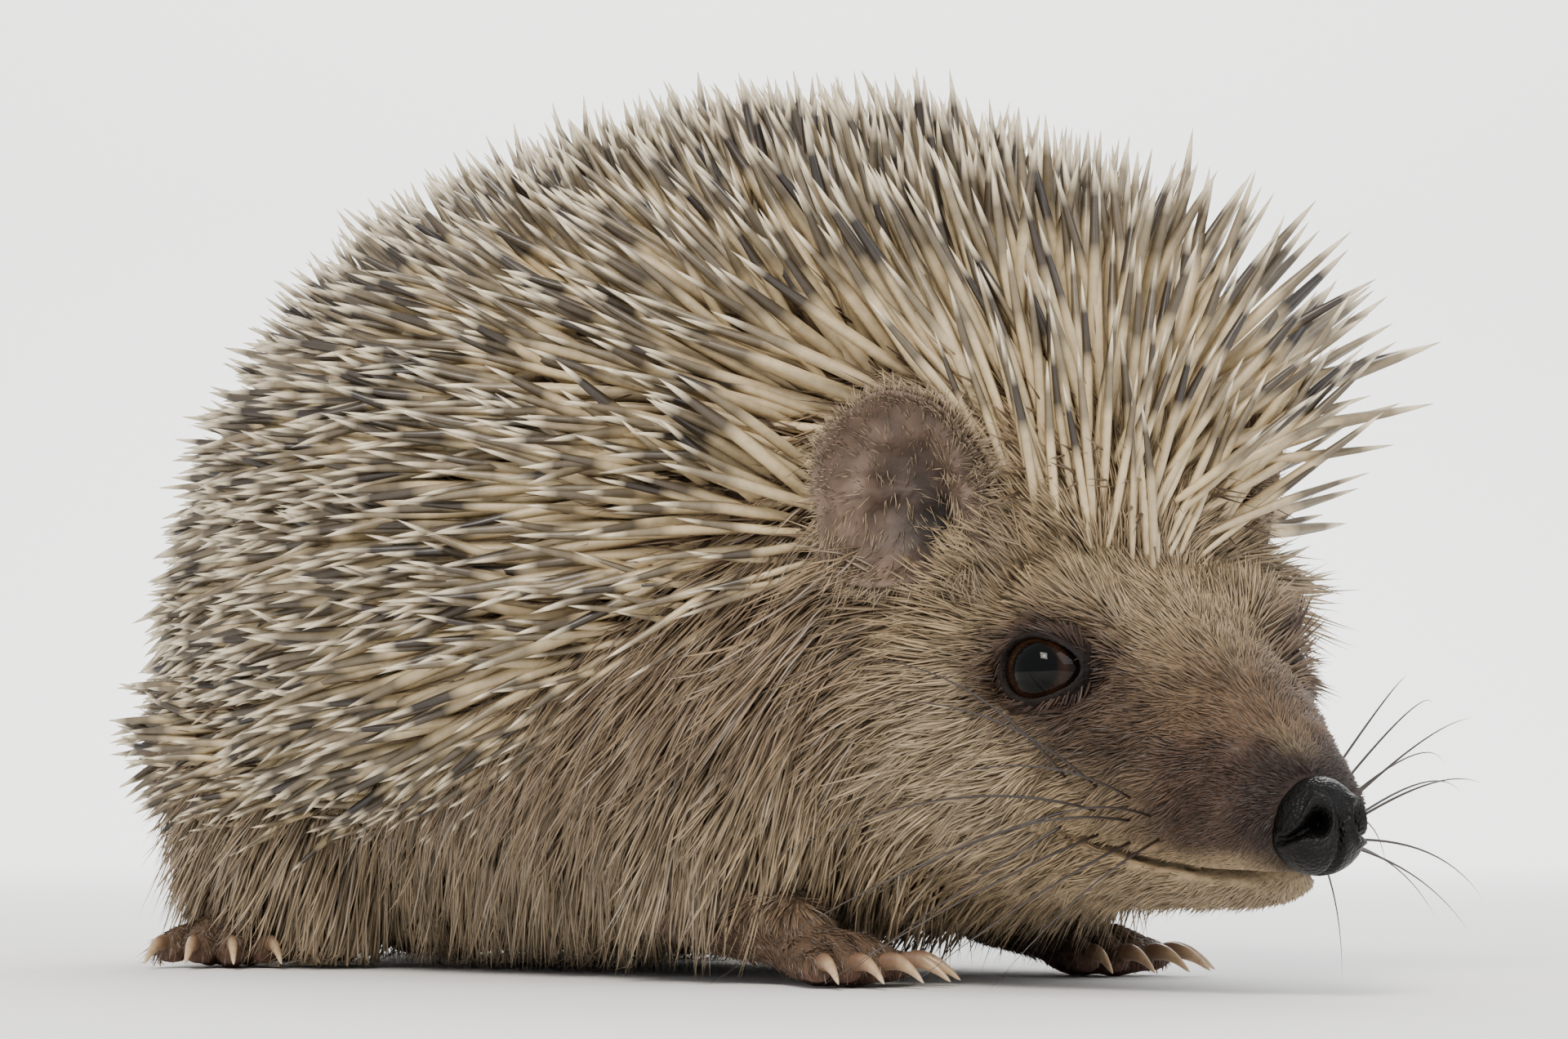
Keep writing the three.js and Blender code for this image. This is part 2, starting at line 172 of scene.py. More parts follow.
def in_metres(points):
    """From the laying-out frame in millimetres to the animal's own in metres."""
    return (np.asarray(points, float) - (MIDDLE_X, 0, 0)) * 0.001


def spun(points, degrees):
    """Points turned about the upright line through the neck."""
    p = np.array(points, float)
    c, s = math.cos(math.radians(degrees)), math.sin(math.radians(degrees))
    x, y = p[..., 0] - TURN_X, p[..., 1].copy()
    p[..., 0], p[..., 1] = TURN_X + c * x - s * y, s * x + c * y
    return p


def turned(points):
    """From the head's own straight frame to where the head is."""
    return spun(points, -HEAD_TURN)


def turned_ways(ways):
    """Directions, not places, from the head's own frame to where the head is."""
    return turned(ways + (TURN_X, 0, 0)) - (TURN_X, 0, 0)


def straight(points):
    """From where the head is back to its own straight frame."""
    return spun(points, HEAD_TURN)


def heading(degrees, rise=0.0):
    """A direction over the ground, turned from straight ahead, with a rise."""
    return np.array((math.cos(math.radians(degrees)), math.sin(math.radians(degrees)), rise))


def apply_modifier(obj, name, kind, **settings):
    """Adds a modifier to the active object and leaves its result in the mesh."""
    made = obj.modifiers.new(name, kind)
    for key, value in settings.items():
        setattr(made, key, value)
    bpy.ops.object.modifier_apply(modifier=made.name)


def joined(objects, name):
    """Joins objects into one of that name."""
    bpy.ops.object.select_all(action="DESELECT")
    for each in objects:
        each.select_set(True)
    bpy.context.view_layer.objects.active = objects[0]
    bpy.ops.object.join()
    bpy.context.object.name = name
    return bpy.context.object


def bell(x, width):
    """1 where x is 0, fading to nothing over about the width on both sides."""
    return np.exp(-(x / width) ** 2)


def spots(obj):
    """The vertices of an object as an array."""
    out = np.empty(len(obj.data.vertices) * 3)
    obj.data.vertices.foreach_get("co", out)
    return out.reshape(-1, 3)


def move_to(obj, points):
    """Puts the vertices of an object at the places given."""
    obj.data.vertices.foreach_set("co", np.ascontiguousarray(points, float).ravel())
    obj.data.update()


def ease(x, low, high):
    """0 below low, 1 above high, and a soft step between."""
    t = np.clip((np.asarray(x, float) - low) / (high - low), 0, 1)
    return t * t * (3 - 2 * t)


def run_of(stations, x):
    """Section sizes at x, on smooth curves through the stations (x, size, size, ...)."""
    table = np.array(stations, float)
    xs, ys = table[:, 0], table[:, 1:]
    slope = np.gradient(ys, xs, axis=0)
    i = np.clip(np.searchsorted(xs, x) - 1, 0, len(xs) - 2)
    h = (xs[i + 1] - xs[i])[:, None]
    t = ((x - xs[i]) / h[:, 0])[:, None]
    a = (1 + 2 * t) * (1 - t) ** 2 * ys[i] + t * (1 - t) ** 2 * h * slope[i]
    return (a + t * t * (3 - 2 * t) * ys[i + 1] + t * t * (t - 1) * h * slope[i + 1]).T


def rounded_ends(x, first, last, rear, front, least=0.0):
    """How full a long form is at x, as it rounds off over its rear and front lengths."""
    tail = np.minimum(1, (x - first) / rear)
    nose = np.minimum(1, (last - x) / front)
    return np.sqrt(np.clip(1 - (1 - tail) ** 2, least, 1)) * np.sqrt(np.clip(1 - (1 - nose) ** 2, least, 1))


def ball(segments=32, rings=20):
    """A unit ball to shape, whose axis is upright."""
    bpy.ops.object.select_all(action="DESELECT")
    bpy.ops.mesh.primitive_uv_sphere_add(segments=segments, ring_count=rings, radius=1)
    return bpy.context.object


def long_form(stations, rear, front, segments=72, rings=64):
    """A ball drawn out along x through sections (x, middle height, half width, up, down)."""
    obj = ball(segments, rings)
    unit = spots(obj)
    first, last = stations[0][0], stations[-1][0]
    x = first + (last - first) * (1 + unit[:, 2]) / 2
    z, half, up, down = run_of(stations, x)
    rounding = rounded_ends(x, first, last, rear, front)
    ring = np.hypot(unit[:, 0], unit[:, 1])
    ring[ring < 1e-6] = 1
    c, s = unit[:, 0] / ring, unit[:, 1] / ring
    c[np.abs(unit[:, 2]) > 0.99999] = 0
    s[np.abs(unit[:, 2]) > 0.99999] = 0
    move_to(obj, np.stack([x, c * half * rounding, z + s * np.where(s > 0, up, down) * rounding], 1))
    return obj


def lump(centre, radii, lean=0.0):
    """An ellipsoid of muscle or bone; lean tips its front down, in degrees."""
    obj = ball(28, 18)
    p = spots(obj) * radii
    c, s = math.cos(math.radians(lean)), math.sin(math.radians(lean))
    p = np.stack([c * p[:, 0] + s * p[:, 2], p[:, 1], -s * p[:, 0] + c * p[:, 2]], 1)
    move_to(obj, p + centre)
    return obj


def bone(a, b, thick_a, thick_b, flat=1.0):
    """A rounded length of limb or toe between two points."""
    obj = ball(20, 14)
    unit = spots(obj)
    a, b = np.array(a, float), np.array(b, float)
    axis = (b - a) / np.linalg.norm(b - a)
    side = np.cross((0, 0, 1), axis)
    side /= np.linalg.norm(side)
    up = np.cross(axis, side)
    far = unit[:, 2] > 0
    size = np.where(far, thick_b, thick_a)[:, None]
    base = np.where(far[:, None], b, a)
    move_to(obj, base + size * (unit[:, :1] * side + unit[:, 1:2] * up * flat + unit[:, 2:] * axis))
    return obj


def turn_head(obj):
    """Turns a form that was laid out in the head's frame."""
    move_to(obj, turned(spots(obj)))
    return obj


TRUNK_SKIN = (
    (-91, 33, 15, 16, 15),
    (-80, 34, 23, 28, 22),
    (-65, 35, 30.5, 41, 27),
    (-45, 36, 37, 48, 29.5),
    (-20, 37, 42, 52, 30.5),
    (5, 38, 43.5, 52, 31),
    (25, 38, 41, 50, 30),
    (42, 38, 35, 43, 28),
    (56, 36, 27, 34, 24),
    (66, 34, 22, 24, 21),
)
HEAD_SKIN = (
    (36, 32, 27, 27, 22),
    (50, 31, 26, 26, 21),
    (62, 30.5, 24, 23, 19.5),
    (72, 29.5, 21, 20, 17.5),
    (80, 28.3, 18.2, 17.3, 15.5),
    (89, 26, 14.9, 13.6, 13),
    (96, 23.7, 11.7, 10.8, 10.6),
    (103, 21, 8.6, 7.6, 8),
    (108.5, 19.2, 6.2, 5.3, 5.6),
)
JAW_SKIN = (
    (60, 17, 18, 5, 5),
    (80, 15.4, 13.5, 4.5, 4.6),
    (90, 14, 9.8, 3.4, 3.8),
    (98, 12.9, 6.8, 2.6, 2.7),
    (102.5, 12.6, 4.6, 2.2, 2),
)
PAWS = {  # wrist or ankle, direction in degrees from straight ahead, length to the toes, half width, toe
    "fore_right": ((37.5, -25), 2, 13, 6.4, 2.5),
    "fore_left": ((32, 22), 6, 13.5, 6.4, 2.5),
    "hind_right": ((-65, -31), -34, 16, 7.0, 2.7),
    "hind_left": ((-90, 15), 12, 16, 7.0, 2.7),
}
LEGS = {  # shoulder or hip, elbow or heel side, wrist or ankle, with the radius at each
    "fore_right": (((27, -24, 25), (24, -26.5, 10), (37, -25, 6)), (10, 6.3, 4.4)),
    "fore_left": (((21, 22, 25), (18, 23.5, 10), (31.5, 22, 6)), (10, 6.3, 4.4)),
    "hind_right": (((-46, -24, 24), (-61, -31, 10.5), (-65, -31, 6)), (11, 6.2, 4.6)),
    "hind_left": (((-60, 22, 24), (-83, 18, 10.5), (-90, 15, 6)), (11, 6.2, 4.6)),
}


def toe_place(paw, toe, ahead, rise):
    """A point on the line of one of a paw's five toes, ahead of or behind its end."""
    (x, y), turn, long, wide, thick = PAWS[paw]
    spread = toe - 2
    fan, turn = math.radians(turn + spread * TOE_FAN), math.radians(turn)
    reach = long * (1 - 0.035 * spread * spread) + ahead
    return np.array((x + math.cos(fan) * reach - math.sin(turn) * spread * 0.8,
                     y + math.sin(fan) * reach + math.cos(turn) * spread * 0.8, rise))


forms = [
    long_form(TRUNK_SKIN, 22, 12),
    turn_head(long_form(HEAD_SKIN, 14, 4.5)),
    turn_head(long_form(JAW_SKIN, 6, 4, 48, 32)),
    turn_head(lump((55, 0, 51), (21, 26.5, 24))),
    bone((-80, 0, 25), (-92, 0, 16), 4.0, 2.4),
    bone((-92, 0, 16), (-96.5, 0, 11.5), 2.2, 1.2),
]
for side in (-1, 1):
    forms += [
        lump((-52, 26 * side, 25), (22, 13, 18)),
        lump((25, 25 * side, 27), (16, 12.5, 17)),
        turn_head(lump((73, 12.5 * side, 25), (11, 8.2, 10))),
        turn_head(lump((77.5, 9.5 * side, 42), (7.5, 6, 4.2), 25)),
        turn_head(lump((98.5, 5.6 * side, 19.8), (8.5, 4.8, 5.4))),
    ]
for paw, ((x, y), turn, long, wide, thick) in PAWS.items():
    joints, radii = LEGS[paw]
    forms += [bone(joints[0], joints[1], radii[0], radii[1]), bone(joints[1], joints[2], radii[1], radii[2])]
    ahead = heading(turn)
    wrist = np.array((x, y, 4.6))
    forms += [bone(wrist, wrist + ahead * long * 0.6 - (0, 0, 1.3), wide * 0.62, wide * 0.86, 0.62)]
    for toe in range(5):
        knuckle = toe_place(paw, toe, -5.5, thick + 0.9)
        forms += [
            bone(toe_place(paw, toe, -9, 3.6), knuckle, thick * 0.8, thick * 0.82),
            bone(knuckle, toe_place(paw, toe, -0.1, thick - 0.2), thick * 0.82, thick * 0.86),
        ]
    forms += [lump(wrist + ahead * 4 - (0, 0, 2.9), (4.6, 3.8, 1.8))]


def around(p, centre, radii, soft=0.5):
    """1 inside an ellipsoid, 0 beyond its soft edge."""
    return 1 - ease(np.linalg.norm((p - centre) / radii, axis=1), 1 - soft, 1 + soft)


skin = joined(forms, "skin")
apply_modifier(skin, "one_skin", "REMESH", mode="VOXEL", voxel_size=PORE)
apply_modifier(skin, "relaxed", "SMOOTH", factor=0.5, iterations=5)
neck = skin.vertex_groups.new(name="neck")
softness = around(spots(skin), (57, 0, 27), (10, 36, 27))
for i in np.flatnonzero(softness > 0.02):
    neck.add([int(i)], float(softness[i]), "REPLACE")
apply_modifier(skin, "eased_neck", "SMOOTH", factor=0.5, iterations=45, vertex_group="neck")

# The face and the feet carry the fine forms, so their mesh is divided once more, and round the eyes twice.


def refine(obj, wanted):
    """Divides the faces whose middle is wanted (a test on an array of places)."""
    mesh = obj.data
    middles = np.empty(len(mesh.polygons) * 3)
    mesh.polygons.foreach_get("center", middles)
    mesh.vertices.foreach_set("select", np.zeros(len(mesh.vertices), bool))
    mesh.edges.foreach_set("select", np.zeros(len(mesh.edges), bool))
    mesh.polygons.foreach_set("select", wanted(middles.reshape(-1, 3)))
    bpy.context.tool_settings.mesh_select_mode = (False, False, True)
    bpy.ops.object.mode_set(mode="EDIT")
    bpy.ops.mesh.subdivide(number_cuts=1, smoothness=0)
    bpy.ops.object.mode_set(mode="OBJECT")


def normals(obj):
    """Which way the surface faces at each vertex."""
    out = np.empty(len(obj.data.vertices) * 3)
    obj.data.vertex_normals.foreach_get("vector", out)
    return out.reshape(-1, 3)


EYE_AT = np.array((79, 14.6, 35.4))  # the left eye's centre, in the head's straight frame
EYE_ROUND = 5.0
EYE_OUT = np.array((0.45, 0.89, 0.05)) / np.linalg.norm((0.45, 0.89, 0.05))
EYE_FORE = np.cross(EYE_OUT, (0, 0, 1))
EYE_FORE /= np.linalg.norm(EYE_FORE)
EYE_RISE = np.cross(EYE_FORE, EYE_OUT)


def folded(points):
    """Places in the head's straight frame, with the right side laid over the left."""
    out = straight(points)
    out[:, 1] = np.abs(out[:, 1])
    return out


def mirror(points):
    """What turns a left-hand direction into the one for each place's own side."""
    out = np.ones((len(points), 3))
    out[:, 1] = np.where(points[:, 1] > 0, 1, -1)
    return out


def face_share(points, start, end):
    """1 on the face and 0 on the body, with a soft step between."""
    return ease(straight(points)[:, 0], start, end) * ease(points[:, 2], 7, 11)


def eye_ring(head):
    """How far a folded head point is round the eye: 1 at the opening's edge. Also its height off the eye."""
    v = head - EYE_AT
    fore, rise, out = v @ EYE_FORE, v @ EYE_RISE, v @ EYE_OUT
    width = np.where(fore > 0, 4.6, 4.0)
    power = np.where(fore > 0, 1.6, 2.0)
    ring = np.sqrt((np.abs(fore) / width) ** power + (np.abs(rise - 0.1) / 3.2) ** 2)
    return ring, np.hypot(fore, rise), out


# Behind each ear the skin sinks to hold the cup.
EAR_AT = np.array((64.5, 24.8, 55.5))  # the middle of the left ear's opening, and which way it opens
EAR_OPENS = np.array((0.55, 0.82, -0.18)) / np.linalg.norm((0.55, 0.82, -0.18))
place = spots(skin)
v = folded(place) - EAR_AT
depth = v @ EAR_OPENS
aside = np.linalg.norm(v - depth[:, None] * EAR_OPENS, axis=1)
floor_of_ear = -8.0 + 5.5 * ease(aside, 5.5, 11.5)
sink = np.maximum(depth - floor_of_ear, 0) * (1 - ease(aside, 9.5, 13)) * (depth < 14)
move_to(skin, turned(straight(place) - EAR_OPENS * mirror(straight(place)) * sink[:, None]))

refine(skin, lambda p: (straight(p)[:, 0] > 68) | ((p[:, 2] < 9) & (np.abs(p[:, 1]) > 9)))
refine(skin, lambda p: (straight(p)[:, 0] > 68) & (eye_ring(folded(p))[0] < 2.1)
       & (eye_ring(folded(p))[2] > -3))
refine(skin, lambda p: (straight(p)[:, 0] > 79) & (np.abs(straight(p)[:, 2] - 14.5) < 4.2))

MOUTH = np.array(((77, 19.6), (82, 17.2), (90, 14.6), (98, 13.4), (106.5, 13.0), (112, 13.0)))
place = spots(skin)
out = normals(skin)
head = folded(place)
off_mouth = head[:, 2] - np.interp(head[:, 0], MOUTH[:, 0], MOUTH[:, 1])
mouth = ease(head[:, 0], 77.5, 81) * (head[:, 1] < 30)
crease = bell(off_mouth, 0.42) * mouth
lips = (0.45 * bell(off_mouth - 1.3, 0.9) + 0.3 * bell(off_mouth + 1.1, 0.8)) * mouth
fold = 0.35 * np.sin(head[:, 0] * 1.1 + head[:, 2] * 0.35)
fold = fold * ease(head[:, 0], 96, 101) * ease(head[:, 2], 22, 26)
place = place + out * (lips - 1.25 * crease + 0.4 * fold)[:, None]

between_toes = np.zeros(len(place))
for (x, y), turn, long, wide, thick in PAWS.values():
    turn = math.radians(turn)
    ahead = (place[:, 0] - x) * math.cos(turn) + (place[:, 1] - y) * math.sin(turn)
    beside = (place[:, 1] - y) * math.cos(turn) - (place[:, 0] - x) * math.sin(turn)
    here = ease(ahead, long - 8.5, long - 4) * (np.abs(beside) < 16) * (ahead < long + 8) * (place[:, 2] < 9)
    for gap in (-1.5, -0.5, 0.5, 1.5):
        off_line = beside - (math.tan(math.radians(TOE_FAN * gap)) * ahead + 0.8 * gap)
        between_toes = np.maximum(between_toes, bell(off_line, 0.62) * here)
place = place - out * (1.15 * between_toes)[:, None]

ring, aside, depth = eye_ring(head)
near = (ring < 2.2) & (depth > -3) & (head[:, 0] > 68)
LID_ROUND = 5.7
SOCKET_ROUND = 4.1
shell = np.sqrt(np.clip(LID_ROUND ** 2 - aside ** 2, 0.05, None))
under = np.sqrt(np.clip(SOCKET_ROUND ** 2 - aside ** 2, 0.05, None))
lid = under + (shell - under) * ease(ring, 0.96, 1.1)
wanted = lid + (depth - lid) * ease(ring, 1.2, 1.9) - 0.45 * bell(ring - 1.5, 0.1)
lift = np.where(near, wanted - depth, 0)
place = place + turned_ways(EYE_OUT * mirror(straight(place))) * lift[:, None]
place[:, 2] = np.maximum(place[:, 2], CLEAR_OF_FLOOR)
move_to(skin, place)

# Colours of the coat: grizzled brown flanks, a paler belly, a dark mask from the eyes down the sides of the
# snout, dark feet. Skin and hair take them from the same place.


def painted(base, *coats):
    """Coats laid over a base colour, or over colours already there: each coat is a colour and how much
    of it shows at each point."""
    out = np.tile(linear(base), (len(coats[0][1]), 1)) if isinstance(base, str) else np.array(base)
    for code, amount in coats:
        out += (np.array(linear(code)) - out) * np.asarray(amount)[:, None]
    return out


def near_leg(p):
    """1 on the legs and paws, fading to 0 on the body round them."""
    out = np.zeros(len(p))
    for paw, ((x, y), turn, long, wide, thick) in PAWS.items():
        shin, ankle = np.array(LEGS[paw][0][1:], float)
        toes = np.array((x, y, 3)) + heading(turn) * long
        for a, b in ((shin, ankle), (ankle, toes)):
            t = np.clip((p - a) @ (b - a) / ((b - a) @ (b - a)), 0, 1)[:, None]
            gap = np.linalg.norm(p - a - t * (b - a), axis=1)
            out = np.maximum(out, 1 - ease(gap, 7.5, 12))
    return out


def coat_colour(p):
    """The colour of skin and hair at each place."""
    head = folded(p)
    x, y, z = head.T
    face = face_share(p, 56, 70)
    ring = eye_ring(head)[0]
    eye_mask = (1 - ease(ring, 1.3, 2.7)) * ease(x, 66, 72)
    snout = ease(x, 84, 98)
    side = ease(y - 0.55 * (109 - x) * 0.35, 0, 3)
    leg = near_leg(p) * (1 - ease(p[:, 2], 12, 20))
    feet = leg * (1 - ease(p[:, 2], 5, 11))
    return painted(
        "917c62",
        ("a8967b", (1 - ease(p[:, 2], 15, 34)) * 0.8),
        ("9c896e", (1 - ease(np.abs(p[:, 1]), 14, 30)) * (1 - ease(p[:, 2], 12, 24))),
        ("b19c7c", ease(x, 36, 50) * (1 - ease(z, 20, 34)) * (1 - face) * 0.8),
        ("9c8768", face),
        ("ab9676", around(head, (86, 0, 46), (18, 9, 12)) * face * 0.8),
        ("b5a284", around(head, (70, 26, 24), (12, 14, 13)) * face * 0.8),
        ("463328", eye_mask),
        ("4f3b2e", snout * side * (1 - ease(z, 27, 33)) * ease(z, 14, 17)),
        ("3f2e24", around(head, (88, 14, 30), (8, 7, 6)) * face * 0.85),
        ("6b543f", snout * ease(z, 26, 30) * 0.9),
        ("2f231d", ease(x, 102, 107)),
        ("9a8669", (1 - ease(z, 12.6, 14.6)) * ease(x, 66, 76) * (1 - ease(x, 101, 105))),
        ("87705a", leg * (1 - face) * 0.85),
        ("64503f", feet * (1 - face)),
    )


def give_tint(obj, colours):
    """Gives each vertex the colour that the materials read."""
    made = obj.data.attributes.new("tint", "FLOAT_COLOR", "POINT")
    made.data.foreach_set("color", np.concatenate([colours, np.ones((len(colours), 1))], 1).ravel())


SHADE_UNDER_HAIR = 0.8  # skin is painted this much darker than the hair over it, as painted shade under the coat
place = spots(skin)
tint = coat_colour(place)
# Painted shade: the skin is darkened under the hair, in the mouth's crease and in the grooves between the
# toes.
tint *= ((1 - 0.75 * crease) * (1 - 0.6 * between_toes) * SHADE_UNDER_HAIR)[:, None]
lid_rim = np.where(near, 1 - ease(ring, 1.2, 1.75), 0)
sole = 1 - ease(place[:, 2], 1.2, 2.6)
# Painted shade: the skin under the spines is darkened so that the gaps between them look shadowed.
shade_under_spines = ease(place[:, 2] - 30, 8, 22) * (1 - ease(folded(place)[:, 0] + 0.4 * (70 - place[:, 2]), 74, 80))
shade_under_spines = np.maximum(shade_under_spines, (1 - ease(place[:, 0], -84, -70)) * ease(place[:, 2], 24, 32))
give_tint(skin, painted(tint, ("17100d", lid_rim), ("5a4238", sole), ("4d3f34", 0.8 * shade_under_spines)))


def tinted(name, darkest=0.8, grain=400.0, **settings):
    """A material that takes its colour from the piece's own tint, broken up by a fine grain."""
    made, tree, shader = new_material(name)
    tint = add_node(tree, "Attribute", {"attribute_name": "tint"})
    spots_of = add_node(tree, "TexCoord").outputs["Object"]
    mottle = add_node(tree, "TexNoise", Vector=spots_of, Scale=grain, Detail=4.0)
    shade = add_node(tree, "MapRange", Value=mottle.outputs["Fac"], From_Min=0.3, From_Max=0.7,
                     To_Min=darkest, To_Max=2 - darkest)
    mix = add_node(tree, "VectorMath", {"operation": "MULTIPLY"}, i0=tint.outputs["Color"],
                   i1=shade.outputs["Result"])
    tree.links.new(mix.outputs["Vector"], shader.inputs["Base Color"])
    for key, value in settings.items():
        shader.inputs[key.replace("_", " ")].default_value = value
    return made, spots_of


# Skin with a fine dense underfur: matt, finely pitted, and lined where it folds.
skin_material, where = tinted("furred_skin", 0.75, 700.0, Roughness=0.72, Specular_IOR_Level=0.3, IOR=1.4)
relief(skin_material, where, "TexVoronoi", 0.5, 0.0003, Scale=1700.0)
relief(skin_material, where, "TexNoise", 0.45, 0.0005, Scale=500.0, Detail=6.0, Distortion=1.5)


def finish_piece(piece, material, slot, *nodes):
    """Sets a piece, laid out in millimetres, in place in metres, with its material and its bookkeeping."""
    move_to(piece, in_metres(spots(piece)))
    piece.data.materials.clear()
    piece.data.materials.append(material)
    piece.data.polygons.foreach_set("use_smooth", np.ones(len(piece.data.polygons), bool))
    piece.data.update()
    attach(piece, "root")
    if nodes:
        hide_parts(*nodes)


# Coat roots are taken from the skin while it is still in millimetres.


def surface(obj):
    """An object's triangles: their corners, areas and vertex normals."""
    mesh = obj.data
    mesh.calc_loop_triangles()
    corners = np.empty(len(mesh.loop_triangles) * 3, int)
    mesh.loop_triangles.foreach_get("vertices", corners)
    corners = corners.reshape(-1, 3)
    p = spots(obj)
    a, b, c = p[corners[:, 0]], p[corners[:, 1]], p[corners[:, 2]]
    areas = np.linalg.norm(np.cross(b - a, c - a), axis=1) / 2
    return p, normals(obj), corners, areas


def scatter(ground, density, seed):
    """Random places on a surface. density gives the number per square millimetre at each vertex."""
    p, n, corners, areas = ground
    random = np.random.default_rng(seed)
    share = np.cumsum(areas * density[corners].mean(1))
    count = int(share[-1])
    chosen = np.searchsorted(share, (np.arange(count) + random.random(count)) / count * share[-1])
    chosen = corners[np.minimum(chosen, len(corners) - 1)]
    a, b = np.sqrt(random.random(count)), random.random(count)
    w = np.stack([1 - a, a * (1 - b), a * b], 1)[:, :, None]
    normal = (n[chosen] * w).sum(1)
    return (p[chosen] * w).sum(1), normal / np.linalg.norm(normal, axis=1)[:, None]


def unit(v):
    """Directions brought to length 1."""
    return v / np.maximum(np.linalg.norm(v, axis=-1, keepdims=True), 1e-9)


def on_skin(v, n):
    """The part of a direction that lies in the surface."""
    return unit(v - n * (v * n).sum(-1, keepdims=True))


def raised(run, n, lift):
    """Directions along the surface, lifted off it by angles."""
    return unit(on_skin(run, n) * np.cos(lift)[:, None] + n * np.sin(lift)[:, None])


def centre_lines(root, lie, length, stops, sunk):
    """Straight lines from a little under the skin to the tip, through the stops from 0 to 1."""
    return root[:, None] + lie[:, None] * (stops[None, :, None] * (length[:, None, None] + sunk) - sunk)


def only(keep, *arrays):
    """The wanted rows of several arrays."""
    return [each[keep] for each in arrays]


BAKE_PATCH = 0.003


def shafts(name, middle, radius, wide, flat, sides, tints, root_uv):
    """Joins many small tapered shafts into one piece. middle is their centre lines, ending in a point;
    wide is each one's broad direction, flat its thickness over its width, tints its colour along it,
    and root_uv the place of its patch on the unwrapped body."""
    count, rings = radius.shape
    along = unit(middle[:, -1] - middle[:, 0])
    wide = unit(wide - along * (wide * along).sum(1, keepdims=True))
    thick = np.cross(along, wide)
    turn = np.arange(sides) / sides * 2 * math.pi
    across, through = np.cos(turn)[None, :, None], np.sin(turn)[None, :, None]
    spoke = wide[:, None, :] * across + flat * thick[:, None, :] * through
    body = middle[:, :-1, None, :] + spoke[:, None] * radius[:, :-1, None, None]
    points = np.concatenate([body.reshape(count, -1, 3), middle[:, -1:]], 1)
    each = points.shape[1]
    faces = [list(range(sides))[::-1]]
    for r in range(rings - 2):
        for s in range(sides):
            t = (s + 1) % sides
            faces.append([r * sides + s, r * sides + t, (r + 1) * sides + t, (r + 1) * sides + s])
    last = (rings - 2) * sides
    faces += [[last + s, last + (s + 1) % sides, each - 1] for s in range(sides)]
    pattern = np.array([v for face in faces for v in face])
    starts = np.cumsum([0] + [len(face) for face in faces[:-1]])
    loops = (pattern[None] + np.arange(count)[:, None] * each).ravel()
    mesh = bpy.data.meshes.new(name)
    mesh.vertices.add(count * each)
    mesh.vertices.foreach_set("co", points.ravel())
    mesh.loops.add(len(loops))
    mesh.loops.foreach_set("vertex_index", loops.astype(np.int32))
    mesh.polygons.add(count * len(faces))
    starts = (starts[None] + np.arange(count)[:, None] * len(pattern)).ravel()
    mesh.polygons.foreach_set("loop_start", starts.astype(np.int32))
    mesh.update(calc_edges=True)
    piece = bpy.data.objects.new(name, mesh)
    bpy.context.collection.objects.link(piece)
    give_tint(piece, np.concatenate([np.repeat(tints[:, :-1], sides, 1).reshape(count, -1, 3),
                                     tints[:, -1:]], 1).reshape(-1, 3))
    patch_u = np.concatenate([np.tile(np.arange(sides) / sides, rings - 1), [0.5]]) - 0.5
    patch_v = np.concatenate([np.repeat(np.arange(rings - 1) / (rings - 1), sides), [1.0]]) - 0.5
    patch = np.stack([patch_u, patch_v], 1)[pattern] * BAKE_PATCH
    layer = mesh.uv_layers.new(name="OFBake")
    layer.data.foreach_set("uv", (root_uv[:, None] + patch[None]).ravel())
    return piece


def patch_place(root, centre, reach):
    """A root's place on the body unrolled about its length: how far along, and which way round."""
    along = (root[:, 0] - reach[0]) / (reach[1] - reach[0])
    way = np.arctan2(root[:, 1] - centre[0], root[:, 2] - centre[1]) / (2 * math.pi) + 0.5
    return np.clip(np.stack([along, way], 1), 0.004, 0.996)


def rough(p, scale, seed):
    """A smooth random direction at each place, from crossed waves of about the given length."""
    random = np.random.default_rng(seed)
    out = np.zeros((len(p), 3))
    for _ in range(6):
        wave = unit(random.normal(size=3)) * 2 * math.pi / scale * random.uniform(0.6, 1.5)
        out += np.sin(p @ wave + random.uniform(0, 6.3))[:, None] * unit(random.normal(size=3))
    return out / 1.7


ground = surface(skin)
at = ground[0]
finish_piece(skin, skin_material, "fur", "trunk", "neck", "head", "lower_jaw", "tail",
             *["leg_" + paw for paw in PAWS], *["paw_" + paw for paw in PAWS])

